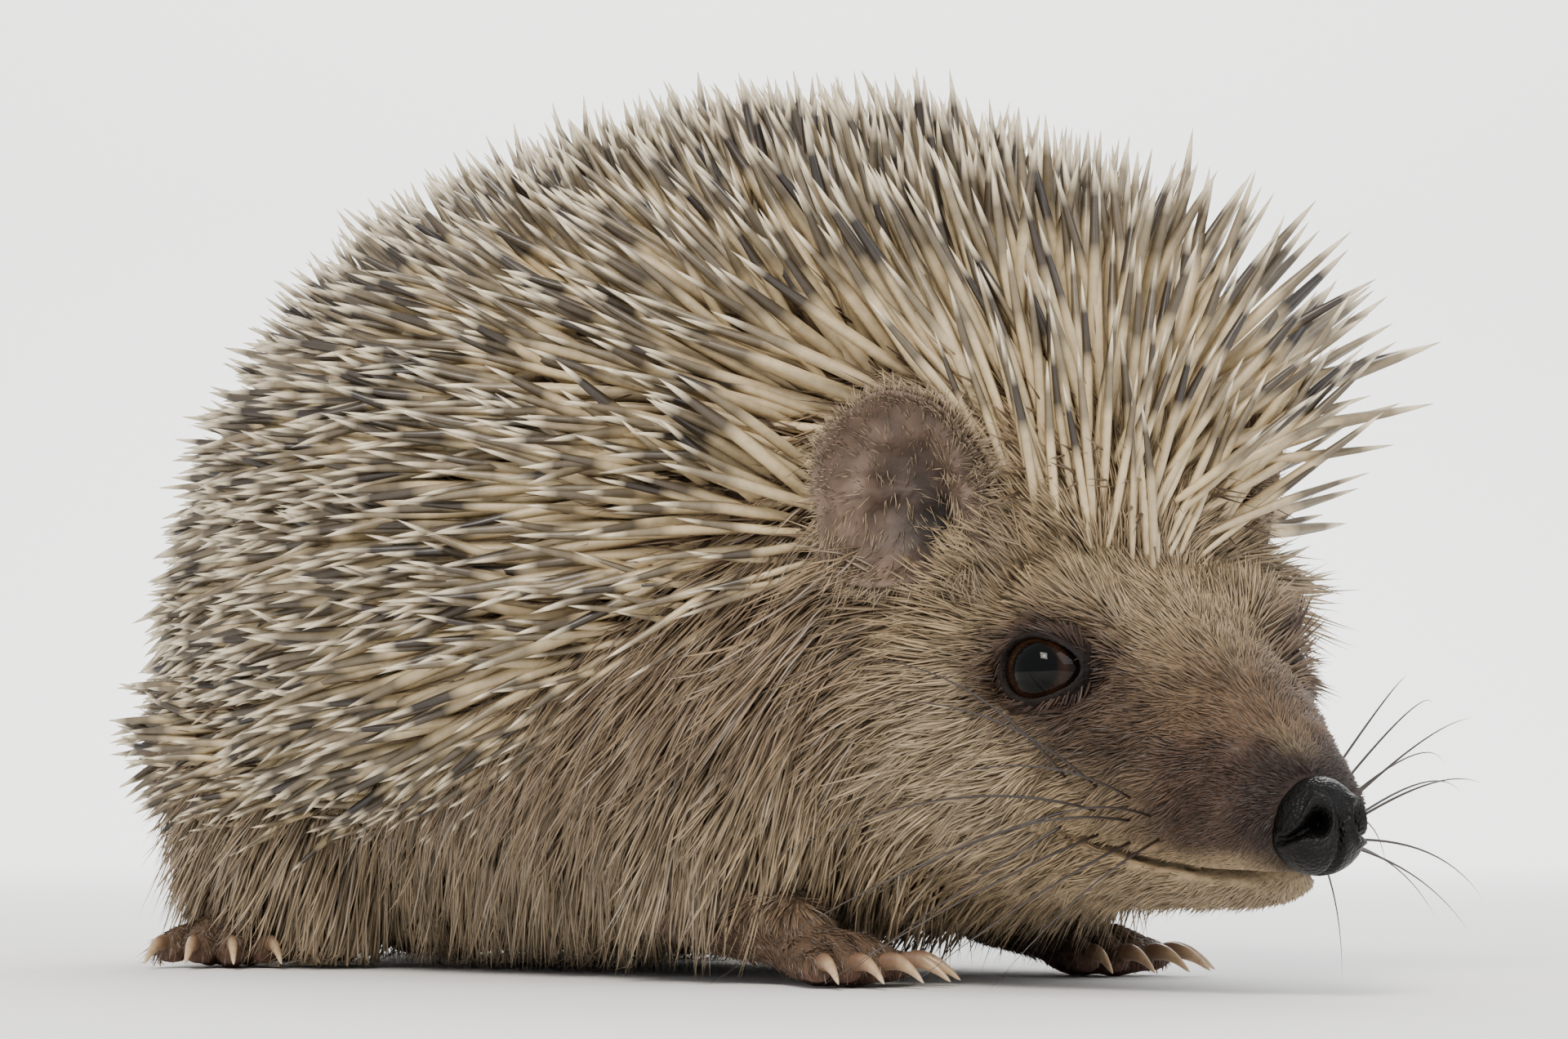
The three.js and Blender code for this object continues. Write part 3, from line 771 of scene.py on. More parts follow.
# ---------------------------------------------------------------- eyes
# Glass eyes, as a museum fits: a round bead with a black pupil in a dark brown iris under a clear, wet
# front. Each is set into its socket until the lids close round it.
# Wet glass: nearly black, with one small sharp light in it.
eye_material, where = tinted("wet_eye", 0.92, 3000.0, Roughness=0.04, IOR=1.33, Specular_IOR_Level=0.3)
relief(eye_material, where, "TexNoise", 0.03, 0.0001, Scale=350.0, Detail=1.0)
PUPIL_EDGE = (31, 34)  # degrees off the line of sight, from where it starts to fade to where it ends
IRIS_EDGE = (42, 50)
CLEAR_FRONT = 0.28     # how far the clear front swells, in millimetres
SIDES = (("right", -1), ("left", 1))
for side_name, side in SIDES:
    eye = ball(64, 48)
    eye.name = "eyeball_" + side_name
    direction = spots(eye)
    sight = unit(EYE_OUT + np.array((0.12, 0, 0.02))) * (1, side, 1)
    off = np.degrees(np.arccos(np.clip(direction @ sight, -1, 1)))
    swell = CLEAR_FRONT * (1 - ease(off, 18, 46))
    move_to(eye, turned(EYE_AT * (1, side, 1) + direction * (EYE_ROUND + swell)[:, None]))
    threads = 0.5 + 0.5 * np.sin(np.arctan2(direction @ EYE_RISE, direction @ EYE_FORE) * 23)
    give_tint(eye, painted("0c0806", ("27170d", (1 - ease(off, *IRIS_EDGE)) * (0.7 + 0.3 * threads)),
                           ("140c07", 1 - ease(off, 33, 38)), ("010101", 1 - ease(off, *PUPIL_EDGE))))
    finish_piece(eye, eye_material, "eye", "eye_" + side_name)

# ---------------------------------------------------------------- nose
# The bare, wet end of the snout: black leathery skin in fine pebbles, two comma-shaped nostrils that open
# to the side, and a groove between them that runs down to the lip.
NOSE_AT = (107.9, 0, 18.5)
NOSE_HALF = (4.6, 5.25, 5.35)
NOSTRIL_DEEP = 2.9
NOSTRIL_HALF = 0.33
nose = ball(128, 96)
nose.name = "nose_pad"
direction = spots(nose)
shape = np.stack([direction[:, 2], direction[:, 1], direction[:, 0]], 1)
pad = shape * NOSE_HALF + NOSE_AT
fore, wide, rise = shape.T
wide = np.abs(wide)
pad[:, 1] *= 1 + 0.08 * ease(-rise, -0.2, 0.6) - 0.1 * ease(rise, 0.3, 0.9)
slit = np.clip((wide - 0.5) / 0.45, -1, 1)
slit_half = NOSTRIL_HALF - 0.21 * ease(slit, 0, 1)
off_slit = np.abs(rise - 0.1 + 0.42 * slit * np.abs(slit)) / slit_half
nostril = np.hypot(off_slit, np.clip(0.5 - wide, 0, None) / 0.2)
hole = (1 - ease(nostril, 0.35, 1.1)) * ease(fore, -0.25, 0.1)
collar = bell(nostril - 1.35, 0.25) * ease(fore, -0.25, 0.1)
groove = bell(wide, 0.07) * ease(-rise, -0.35, 0.1) * (fore > 0)
dimple = bell(wide, 0.3) * bell(rise - 0.15, 0.4) * (fore > 0)
pebble = 0.05 * np.sin(pad[:, 1] * 11 + 2 * np.sin(pad[:, 2] * 7))
pebble = pebble * np.sin(pad[:, 2] * 12 + np.sin(pad[:, 1] * 9))
well = NOSTRIL_DEEP * hole * slit_half / NOSTRIL_HALF
pad -= shape * (well - 0.4 * collar + 0.75 * groove + 0.4 * dimple - pebble * (1 - hole))[:, None]
# Painted shade and light: the sunken nostrils and the groove are painted darker as shade in the hollows, and
# the raised rims round the nostrils a little lighter as a painted highlight.
give_tint(nose, painted("070605", ("0d0a09", collar * 0.7), ("010101", hole), ("040303", groove)))
move_to(nose, turned(pad))
apply_modifier(nose, "rounded_rims", "SMOOTH", factor=0.5, iterations=3)
# Black pebbled leather with a damp, broken shine.
nose_material, where = tinted("wet_nose_leather", 0.8, 1500.0, Roughness=0.4, IOR=1.36, Coat_Weight=0.05,
                              Coat_Roughness=0.2, Specular_IOR_Level=0.24)
relief(nose_material, where, "TexVoronoi", 0.55, 0.0003, invert=True, Scale=2300.0)
finish_piece(nose, nose_material, "nose", "nose")

# ---------------------------------------------------------------- ears
# Short round cups of thin cartilage in skin, almost bare, dark outside and paler within, with folds that
# run down into the ear hole at the front. The hole and the middle of the cup are painted darker as shade, and
# the folds are painted darker in their valleys and lighter on their ridges, as painted shade and light.
EAR_WIDE = 9.7
EAR_TALL = 11.2
EAR_DEEP = 6.0
EAR_RISE = np.array((-0.28, -0.39, 0.88))
EAR_RISE = unit(EAR_RISE - EAR_OPENS * (EAR_RISE @ EAR_OPENS))
EAR_FORE = np.cross(EAR_OPENS, EAR_RISE)
EAR_FORE *= np.sign(EAR_FORE[0])
# Thin bare skin, creased and dull, which lets a little light through.
ear_material, where = tinted("ear_skin", 0.82, 600.0, Roughness=0.55, IOR=1.4, Subsurface_Weight=0.12,
                             Subsurface_Scale=0.001, Subsurface_Radius=(1.0, 0.35, 0.2))
relief(ear_material, where, "TexNoise", 0.45, 0.0004, Scale=420.0, Detail=6.0, Distortion=1.2)


def on_whole_mesh(tool, **settings):
    """Runs a mesh tool on all of the active object."""
    bpy.ops.object.mode_set(mode="EDIT")
    bpy.ops.mesh.select_all(action="SELECT")
    tool(**settings)
    bpy.ops.object.mode_set(mode="OBJECT")


def on_ear(points):
    """Places on an ear: forward and up across its opening, out of it, and how far to its rim, at 1."""
    v = folded(points) - EAR_AT
    a, b = v @ EAR_FORE, v @ EAR_RISE
    return a, b, v @ EAR_OPENS, np.hypot(a / EAR_WIDE, b / EAR_TALL)


ear_ground = {}
for side_name, side in SIDES:
    bpy.ops.object.select_all(action="DESELECT")
    bpy.ops.mesh.primitive_circle_add(vertices=56, radius=1, fill_type="TRIFAN")
    ear = bpy.context.object
    ear.name = "ear_shell_" + side_name
    on_whole_mesh(bpy.ops.mesh.subdivide, number_cuts=6, smoothness=0)
    disc = spots(ear)
    r = np.hypot(disc[:, 0], disc[:, 1])
    c, s = disc[:, 0] / np.maximum(r, 1e-6), disc[:, 1] / np.maximum(r, 1e-6)
    power = np.where(s > 0, 2.15, 3.6)
    wide, tall = np.where(c > 0, EAR_WIDE, 9.6), np.where(s > 0, 11.4, 10.5)
    edge = np.maximum((np.abs(c) / wide) ** power + (np.abs(s) / tall) ** power, 1e-6) ** (-1 / power)
    way_round = np.arctan2(s, c)
    edge *= 1 + 0.022 * np.sin(5 * way_round + 0.6) + 0.014 * np.sin(9 * way_round + side)
    a, b = c * r * edge, s * r * edge
    cup = -EAR_DEEP * (1 - r ** 2) + 1.4 * ease(r, 0.84, 1) * (1 - 0.5 * ease(a, 4, 9))
    cup = cup - 1.4 * (a / EAR_WIDE) * (r ** 2)
    cup += 2.3 * bell(a - 6.2 + 0.25 * b, 1.2) * (1 - ease(b, -1, 6)) * (1 - ease(r, 0.85, 1))
    cup -= 2.2 * np.exp(-(((a - 2.2) / 3.2) ** 2 + ((b + 5.0) / 3.4) ** 2))
    ridge = bell(r - 0.6 - 0.07 * np.sin(2 * way_round), 0.085)
    cup += 1.5 * (ridge * ease(np.sin(way_round - 0.5), -0.5, 0.3))
    cup += 1.0 * bell(b + 1.2 + 0.3 * a, 0.8) * ease(-a, -3, 1) * (1 - ease(r, 0.55, 0.8))
    furrows = np.sin(b * 1.7 + 0.6 * a + 0.8 * np.sin(a * 0.5))
    cup += 0.32 * furrows * (1 - ease(r, 0.65, 0.95)) * ease(r, 0.1, 0.5)
    cup += 0.16 * np.sin(13 * way_round + 2.5 * r) * ease(r, 0.5, 0.8) * (1 - ease(r, 0.9, 1))
    cup += 0.7 * bell(r - 0.8, 0.05) * ease(-c, 0.1, 0.7)
    where_to = EAR_AT + a[:, None] * EAR_FORE + b[:, None] * EAR_RISE + cup[:, None] * EAR_OPENS
    move_to(ear, turned(where_to * (1, side, 1)))
    apply_modifier(ear, "cartilage", "SOLIDIFY", thickness=0.75, offset=0)
    on_whole_mesh(bpy.ops.mesh.normals_make_consistent, inside=False)
    apply_modifier(ear, "round_rim", "SUBSURF", levels=1, render_levels=1)
    a, b, out, near_rim = on_ear(spots(ear))
    opens = turned_ways(np.array([EAR_OPENS * (1, side, 1)]))[0]
    inside = ease(normals(ear) @ opens, -0.1, 0.35)
    rim = ease(near_rim, 0.86, 1.0)
    # Painted shade: the ear hole and the middle of the cup are painted darker.
    pit_shade = np.exp(-(((a - 2.2) / 4.2) ** 2 + ((b + 5) / 5) ** 2))
    blotches_and_relief_shade = 1 + 0.16 * rough(spots(ear), 3.5, 51)[:, :1] + 0.08 * rough(spots(ear), 1.4, 52)[:, :1]
    hollow_shade = 1 - ease(near_rim, 0.2, 0.8)
    # Painted shade and light: inside the cup, low places in the folds are painted darker and high places
    # lighter. The rest of the blotches are the skin's own mottling.
    height = out + EAR_DEEP * (1 - np.minimum(near_rim, 1) ** 2)
    blotches_and_relief_shade *= 1 + 0.45 * inside[:, None] * np.clip(height[:, None] / 1.4, -0.9, 1)
    give_tint(ear, painted("3d332b", ("5c4c41", inside), ("382c25", inside * hollow_shade * 0.8),
                           ("5a4c40", rim * 0.7), ("120c09", pit_shade * inside)) * blotches_and_relief_shade)
    ear_ground[side_name] = (surface(ear), opens)
    finish_piece(ear, ear_material, "ear", "ear_" + side_name)

# ---------------------------------------------------------------- claws
# Solid horn, curved and blunt-pointed, a little grooved along the side and paler at the tip. Each grows out
# of the end of its toe.
# Smooth horn that glows a little at the tip and shines along its back.
claw_material, where = tinted("claw_horn", 0.85, 1200.0, Roughness=0.33, IOR=1.55, Subsurface_Weight=0.15,
                              Subsurface_Scale=0.001)
relief(claw_material, where, "TexNoise", 0.25, 0.0001, Scale=2200.0, Detail=2.0)
CLAW_LONG = 4.4
CLAW_HALF = 1.05
CLAW_ROOTED = 3.0   # how much of it is in the toe
CLAW_NARROW = 0.72  # width over height
for paw, ((x, y), turn, long, wide, thick) in PAWS.items():
    toes = []
    for toe in range(5):
        claw = ball(20, 18)
        direction = spots(claw)
        t = (direction[:, 2] + 1) / 2
        start = thick - 1.6
        along = start + t * (CLAW_LONG + CLAW_ROOTED)
        root_z, tip_z = thick + 0.1, 0.75
        height = root_z + (tip_z - root_z) * t ** 1.9 + 0.85 * np.sin(t * math.pi)
        size = CLAW_HALF * np.interp(t, (0, 0.3, 0.6, 0.85, 1), (0.9, 1.0, 0.78, 0.45, 0.2))
        ring = np.maximum(np.hypot(direction[:, 0], direction[:, 1]), 1e-6)
        cap = np.minimum(ring / 0.55, 1)
        side_way, up_way = direction[:, 0] / ring * cap, direction[:, 1] / ring * cap
        fan = math.radians(turn + (toe - 2) * TOE_FAN)
        middle = toe_place(paw, toe, 0, 0)[None] + np.stack(
            [np.cos(fan) * along, np.sin(fan) * along, height], 1) - np.array(
            [np.cos(fan), np.sin(fan), 0]) * thick * 0.35
        across_toe = np.array((-math.sin(fan), math.cos(fan), 0))
        body = middle + (side_way * size * CLAW_NARROW)[:, None] * across_toe
        body[:, 2] += up_way * size
        body[:, 2] = np.maximum(body[:, 2], 0.12)
        move_to(claw, body)
        quick = 1 - ease(t, 0.35, 0.8)
        give_tint(claw, painted("b59a78", ("6b5040", quick * 0.85), ("d2bf9e", ease(t, 0.8, 1) * 0.6)))
        toes.append(claw)
    claws = joined(toes, "claws_" + paw)
    finish_piece(claws, claw_material, "claw", *["claw_%s_%d" % (paw, toe + 1) for toe in range(5)])

# ---------------------------------------------------------------- spines
# Hollow hairs of hard keratin, about 4500 of them, most 14 to 27 mm long: a thin neck in the skin, a straight
# round shaft, a sharp point. Cream, with a dark brown band below a pale tip. They lie back over the rump,
# stand on the back and fan out over the brow.
SPINE_LENGTH = (14, 27)
SPINE_HALF = 0.78  # half its thickness
LEAST_TURN = 0.62  # a spine that the ear turns further than this is left out
# The forms that the tips make on back and hood: x, middle height, half width, up, down.
BACK_TIPS = (
    (-101, 34, 33, 38, 30), (-80, 35, 36.5, 50.5, 33), (-60, 36, 43, 62, 34), (-35, 37, 53, 69.5, 35),
    (-5, 37, 59, 73, 35), (22, 38, 57, 72, 34), (45, 42, 50, 62, 34), (66, 46, 42, 48, 30),
)
HOOD_TIPS = (
    (20, 50, 46, 50, 26), (42, 52, 50, 50, 26), (60, 54, 52, 45, 26), (76, 56, 50, 37, 26),
    (93, 58, 42, 28, 24),
)
# Where the spines end above the flank: x and height.
BACK_EDGE = np.array(((-110, 22), (-85, 20), (-52, 16), (-26, 14), (0, 20), (12, 24), (26, 32), (40, 40),
                      (90, 44)))


def within(p, stations, rear, front):
    """Whether points are inside a long form of those sections."""
    first, last = stations[0][0], stations[-1][0]
    x = np.clip(p[:, 0], first + 1e-3, last - 1e-3)
    z, half, up, down = run_of(stations, x)
    size = rounded_ends(x, first, last, rear, front, 1e-6)
    rise = p[:, 2] - z
    inside = (p[:, 1] / (half * size)) ** 2 + (rise / (np.where(rise > 0, up, down) * size)) ** 2 < 1
    return inside & (p[:, 0] > first) & (p[:, 0] < last)


def under_tips(p):
    """Whether points are inside the form that the spines' tips make."""
    return within(p, BACK_TIPS, 32, 18) | within(straight(p), HOOD_TIPS, 20, 22)


def spiny(p):
    """How far a place on the skin is inside the spiny mantle, in millimetres."""
    head = folded(p)
    back = p[:, 2] - np.interp(p[:, 0], BACK_EDGE[:, 0], BACK_EDGE[:, 1]) - 4
    x, y, z = head.T
    outer = np.where(p[:, 1] > 0, 0.2, 0.42)
    hood = z - 46.5 + 3 * ease(p[:, 1], 5, 12) - outer * y * ease(x, 54, 64)
    hood = hood - 6 * bell(x - 65, 9) * ease(y, 12, 18)
    front = 79 - 0.2 * y - x
    past = ease(x, 40, 52)
    return np.minimum(back + (hood - back) * past, front)


def thinned(points, gap, seed):
    """Picks points so that no two are nearer than their gap."""
    order = np.random.default_rng(seed).permutation(len(points))
    size = gap.max()
    cells, kept = {}, []
    keys = np.floor(points / size).astype(int)
    steps = [(i, j, k) for i in (-1, 0, 1) for j in (-1, 0, 1) for k in (-1, 0, 1)]
    for i in order:
        x, y, z = keys[i]
        p, g = points[i], gap[i] ** 2
        if all((q[0] - p[0]) ** 2 + (q[1] - p[1]) ** 2 + (q[2] - p[2]) ** 2 > g
               for a, b, c in steps for q in cells.get((x + a, y + b, z + c), ())):
            cells.setdefault((x, y, z), []).append(p)
            kept.append(i)
    return np.array(kept)


root, n = scatter(ground, np.where(spiny(at) > 0, 2.4, 0.0), 11)
gap = np.where(straight(root)[:, 0] > 45, 1.8, np.interp(root[:, 0], (-75, -45), (1.6, 1.88)))
root, n = only(thinned(root, gap, 12), root, n)
foot = folded(root) - EAR_AT
depth_in = foot @ EAR_OPENS
off_ear = np.linalg.norm(foot - depth_in[:, None] * EAR_OPENS, axis=1)
root, n = only(off_ear > np.where(np.abs(depth_in) < 12, 9.5, 0), root, n)
random = np.random.default_rng(13)
head = straight(root)
x, y, z = head[:, 0], head[:, 1], root[:, 2]
rise = np.interp(root[:, 0], (-80, -60, -35, -5, 25, 45, 60, 76), (34, 44, 55, 68, 78, 86, 92, 98))
rump = np.interp(z, (15, 40, 60, 80), (-42, -20, 6, 40))
rise = np.radians(rump + (rise - rump) * ease(root[:, 0] + 0.25 * (z - 50), -82, -55))
standing = np.stack([-np.cos(rise), (0.012 + 0.01 * (1 - ease(root[:, 0], -85, -60))) * y, np.sin(rise)], 1)
fan = np.clip(np.abs(y) / 20, 0, 1)
flare = np.clip(y / 14, 0, 1) * (1 - 0.45 * ease(z, 54, 68))
brow_left = np.stack([0.1 + 0.35 * flare, 0.98 * flare, 1 - 0.88 * flare], 1)
brow_right = np.stack([-0.3 * fan, -0.5 * fan, 0.95 + 0 * fan], 1)
standing += (np.where(y[:, None] > 0, brow_left, brow_right) - standing) * ease(x, 54, 66)[:, None]
side_angle = np.interp(root[:, 0], (-90, -40, 20, 45, 65), (20, 28, 32, 40, 50))
side_angle = np.radians(side_angle + 12 * ease(x, 44, 60) * (y > 0))
outward = np.array((0, 0.3, 0)) * np.sign(y)[:, None] * ease(x, 40, 70)[:, None]
back = on_skin(np.array((-1.0, 0, -0.28)) + outward, n)
lying = back * np.cos(side_angle)[:, None] + n * np.sin(side_angle)[:, None]
flat_on = ease(np.abs(n[:, 1]), 0.35, 0.85) * (1 - ease(x, 58, 68))
lie = unit(unit(standing) * (1 - flat_on)[:, None] + lying * flat_on[:, None])
lie = unit(lie + 0.18 * rough(root, 14, 14) + 0.17 * random.normal(size=root.shape))
low = (lie * n).sum(1)
lie = unit(lie + n * np.clip(0.24 - low, 0, None)[:, None])


def over_ear(points, wide, lower=0.0):
    """Whether any of each row's points is in an ear's cup or before its open side, or before the upper
    part of it where lower is the height that may be covered."""
    v = folded(points.reshape(-1, 3)) - EAR_AT - lower * EAR_RISE
    along = v @ EAR_OPENS
    aside = np.linalg.norm(v - along[:, None] * EAR_OPENS, axis=1)
    far = np.where(points.reshape(-1, 3)[:, 1] > 0, 13, 34)
    before = (along > -2.5) & (aside < wide + 0.12 * along)
    in_cup = (along > -6.8 * (1 - (aside / 10) ** 2)) & (aside < min(wide, 9.4))
    return ((before | in_cup) & (along < far)).reshape(points.shape[:-1]).any(-1)


steps = np.linspace(1, 27, 19)[None, :, None]
aside_from_ear = (EAR_RISE - 0.7 * EAR_OPENS) * mirror(root)
first_lie = lie
for _ in range(4):
    crossing = over_ear(root[:, None] + lie[:, None] * steps, 12)
    lie = np.where(crossing[:, None], unit(lie + 0.45 * aside_from_ear), lie)
keep = ~over_ear(root[:, None] + lie[:, None] * steps, 12) & ((lie * first_lie).sum(1) > LEAST_TURN)
root, n, lie, head = only(keep, root, n, lie, head)
reach = np.full(len(root), 6.0)
for step in np.arange(6, 31, 0.5):
    reach = np.where(under_tips(root + lie * step), step, reach)
flared = ease(straight(root)[:, 0], 50, 60) * ease(straight(root)[:, 1], 4, 12)
length = reach * random.uniform(0.85, 1.05, len(root)) * (1 + 0.12 * flared)
length *= 1 + 0.09 * (random.random(len(root)) < 0.22)
rear_top = bell(root[:, 0] + 58, 22) * ease(root[:, 2], 50, 72)
length *= 1 + 0.14 * rear_top - 0.035 * ease(root[:, 0], -25, 5) * (1 - flared)
length = np.clip(length, SPINE_LENGTH[0], SPINE_LENGTH[1] + 4 * flared + 3 * rear_top)
length *= 0.72 + 0.28 * ease(spiny(root), 0, 9)
stops = np.array((0, 0.06, 0.28, 0.55, 0.64, 0.82, 0.91, 1))
middle = centre_lines(root, lie, length, stops, 1.2)
bend = unit(np.cross(lie, random.normal(size=root.shape)))
middle += bend[:, None] * (0.5 * np.sin(stops * math.pi))[None, :, None]
girth = SPINE_HALF * random.uniform(0.82, 1.12, len(root)) * (length / 22) ** 0.35
girth *= 0.72 + 0.28 * ease(spiny(root), 0, 8)
radius = girth[:, None] * np.array((0.4, 0.7, 1, 0.97, 0.9, 0.6, 0.36, 0))
cream, band, tip = (np.array(linear(c)) for c in ("cfba92", "1f150e", "e0d2b5"))
shade = random.uniform(0.78, 1.12, len(root))[:, None, None]
banding = np.array((0.4, 0.14, 0.04, 0.16, 0.93, 0.96, 0.14, 0.0))[None, :, None]
banding = np.clip(banding * random.uniform(0.7, 1.05, (len(root), 1, 1)), 0, 1)
tints = (cream[None, None] * (1 - banding) + band[None, None] * banding) * shade
tints[:, -2:] = (0.75 * tip + 0.25 * tints[:, -2:]) * shade

# Polished keratin: a narrow highlight down each shaft, over faint streaks.
spine_material, where = tinted("spine_keratin", 0.86, 900.0, Roughness=0.38, Specular_IOR_Level=0.5, IOR=1.55)
relief(spine_material, where, "TexNoise", 0.15, 0.0001, Scale=2600.0, Detail=2.0)
across_back = np.cross(lie, n)
brow = head[:, 0] > 28
pieces = {}
for side_name, side in SIDES:
    here = (root[:, 1] >= 0) == (side > 0)
    pieces["spines_back_" + side_name] = ~brow & here
    pieces["spines_brow_" + side_name] = brow & here
for name, part in pieces.items():
    uv = patch_place(root[part], (0, 38), (-95, 85))
    uv[:, 1] = uv[:, 1] * 2 % 1
    spines = shafts(name, middle[part], radius[part], across_back[part], 1.0, 5, tints[part],
                    np.clip(uv, 0.004, 0.996))
    finish_piece(spines, spine_material, "spines", *(["spine_coat"] if name == "spines_back_right" else []))

# ---------------------------------------------------------------- fur
# Coarse hair in thin pointed locks, fine and close on the snout, longer on cheeks and brow, and long and
# shaggy from under the spines down the flanks to the ground. It runs back from the nose, up over the brow,
# round the eyes and down the flanks and legs.


def swayed(ways, toward, share):
    """Directions drawn over to others by a share of each."""
    return ways + (np.array(toward) - ways) * share[:, None]


def lie_of_fur(p, n):
    """Which way the hair runs over the skin at each place."""
    head = straight(p)
    flip = mirror(head)
    x, y, z = head[:, 0], np.abs(head[:, 1]), head[:, 2]
    body = np.tile((-0.75, 0.0, -0.75), (len(p), 1))
    body = swayed(body, (-0.3, 0, -1.0), 1 - ease(p[:, 2], 14, 34))
    body = swayed(body, (-1.0, 0, -0.1), (1 - ease(np.abs(p[:, 1]), 12, 26)) * (1 - ease(p[:, 2], 10, 18)))
    body = swayed(body, (-0.75, 0, -0.8), ease(-p[:, 0], 87, 91) * (1 - ease(np.abs(p[:, 1]), 5, 8)))
    body = swayed(body, (-0.5, 0, -0.9), ease(x, 38, 50) * (1 - ease(z, 22, 36)))
    upward = np.array((-0.62, 0.45, 0.7)) * flip
    upward[:, 1] *= ease(y, 1, 9)
    cheek = swayed(np.array((-0.95, 0.22, -0.3)) * flip, upward, ease(z, 38, 46) * ease(88 - x, 0, 10))
    off_eye = folded(p) - EYE_AT
    gap = np.linalg.norm(off_eye, axis=1)
    cheek = turned_ways(cheek + bell(gap, 8)[:, None] * unit(off_eye * flip) * 0.9)
    temple = around(folded(p), (71, 18, 43), (9, 9, 9)) * (p[:, 1] > 0) * ease(gap, 6.5, 11)
    cheek = swayed(cheek, (-0.1, 1.0, 0.05), temple)
    run = swayed(body, cheek, face_share(p, 54, 66))
    for (x0, y0), turn, long, wide, thick in PAWS.values():
        near = 1 - ease(np.hypot(p[:, 0] - x0, p[:, 1] - y0), 9, 17)
        ahead = heading(turn, -0.35)
        run = swayed(run, ahead, near * (1 - ease(p[:, 2], 5, 10)))
    return on_skin(run, n)


# Two tufts of longer hair, each an ellipsoid's middle and half sizes: before the eye, and on the bridge.
BEFORE_EYE = ((84, 13, 38), (7, 6, 7))
BRIDGE = ((90, 10, 36), (3.5, 3.2, 3))


def hair_length(p):
    """How long the hair is at each place, in millimetres."""
    head = folded(p)
    x, y, z = head.T
    ring = eye_ring(head)[0]
    face = face_share(p, 56, 68)
    on_face = np.interp(x, (56, 70, 80, 90, 98, 108), (8.0, 6.4, 4.6, 2.5, 1.7, 0.9))
    on_face *= 0.45 + 0.55 * ease(ring, 1.3, 3.2)
    temple = around(head, (70, 20, 43), (9, 9, 9))
    left = p[:, 1] > 0
    on_face += (1 + 7.5 * left) * temple + (1.2 + 2.8 * left) * around(head, *BEFORE_EYE)
    on_face += 1.9 * left * around(head, *BRIDGE)
    chin = (1 - ease(z, 10, 16)) * (1 - ease(x, 80, 96))
    on_face += 2.0 * around(head, (68, 25, 22), (12, 14, 14)) + 1.5 * chin
    line = np.interp(x, MOUTH[:, 0], MOUTH[:, 1])
    on_face *= 1 - 0.6 * (1 - ease(np.abs(z - line - 1), 0.8, 4.2)) * ease(x, 76, 80)
    body = 9.5 + 2.5 * ease(-spiny(p), -8, 2) * ease(spiny(p), -14, -4)
    fringe = (1 - ease(p[:, 2], 14, 24)) * ease(np.abs(p[:, 1]), 10, 20)
    body = body + 4.0 * fringe
    leg = np.maximum(near_leg(p) * (1 - ease(p[:, 2], 11, 19)), ease(-p[:, 0], 88, 92))
    body = body + (3.2 - body) * leg
    feet = 1 - ease(p[:, 2], 5, 9.5)
    body = body + (1.15 - body) * feet * leg
    return body + (on_face - body) * face


def hair_density(p):
    """How many locks grow on a square millimetre."""
    head = folded(p)
    x, y, z = head.T
    ring, aside, depth = eye_ring(head)
    face = face_share(p, 56, 72)
    line = np.interp(x, MOUTH[:, 0], MOUTH[:, 1])
    amount = 1.7 + 3.3 * face + 2.5 * ease(x, 90, 100) * face + 9.0 * ease(x, 97, 104) * face
    amount *= np.where((ring < 1.24) & (depth > -2) & (x > 68), 0, 1)
    amount *= np.where((np.abs(z - line) < 0.75) & (x > 78), 0, 1)
    under = (1 - ease(np.abs(p[:, 1]), 16, 24)) * (1 - ease(p[:, 2], 12, 20)) * (1 - face)
    amount *= 1 - 0.62 * under
    off_nose = np.linalg.norm((head - NOSE_AT) / NOSE_HALF, axis=1)
    amount *= ease(off_nose, 1.02, 1.12) * ease(p[:, 2], 0.9, 2.2)
    amount *= 1 - ease(spiny(p), 4, 9) * (1 - around(head, EAR_AT - 3 * EAR_OPENS, (14, 14, 14), 0.3))
    return amount * (1 + 1.4 * near_leg(p) * (1 - ease(p[:, 2], 8, 14))) * np.where(p[:, 2] < 2.6, 0.5, 1)


root, n = scatter(ground, hair_density(at), 21)
random = np.random.default_rng(22)
head = straight(root)
face = face_share(root, 56, 68)
length = hair_length(root) * random.uniform(0.7, 1.15, len(root))
run = lie_of_fur(root, n)
run = unit(run + 0.16 * rough(root, 9, 23) + 0.13 * random.normal(size=root.shape))
feet = (1 - ease(root[:, 2], 5, 11)) * (1 - face)
temple = around(folded(root), (70, 21, 42), (9, 10, 11))
tufts = 24 * temple + 12 * around(folded(root), *BEFORE_EYE) + 16 * around(folded(root), *BRIDGE)
lift = 24 - 8 * face + tufts * face * (root[:, 1] > 0) - 8 * feet
lie = raised(run, n, np.radians(lift + random.uniform(-6, 7, len(root))))
stops = np.array((0, 0.36, 0.7, 1))
clump = 0.2 * rough(root, 4.5, 24)
middle = centre_lines(root, lie, length, stops, 0.5)
middle = middle + clump[:, None] * (stops ** 2)[None, :, None] * length[:, None, None]
sag = (0.16 - 0.12 * face)[:, None] * stops[None] ** 2 * length[:, None]
middle[:, :, 2] -= sag
middle[:, :, 2] = np.maximum(middle[:, :, 2], 0.25 + random.uniform(0, 0.6, (len(root), 1)) * stops[None])
keep = ~over_ear(middle, 7.8, 2.2)
root, n, length, face, lie, middle, head = only(keep, root, n, length, face, lie, middle, head)
girth = np.interp(length, (0.8, 2, 5, 10, 14), (0.11, 0.13, 0.17, 0.22, 0.25))
girth = girth * random.uniform(0.8, 1.2, len(root))
radius = girth[:, None] * np.array((0.8, 1.0, 0.62, 0))
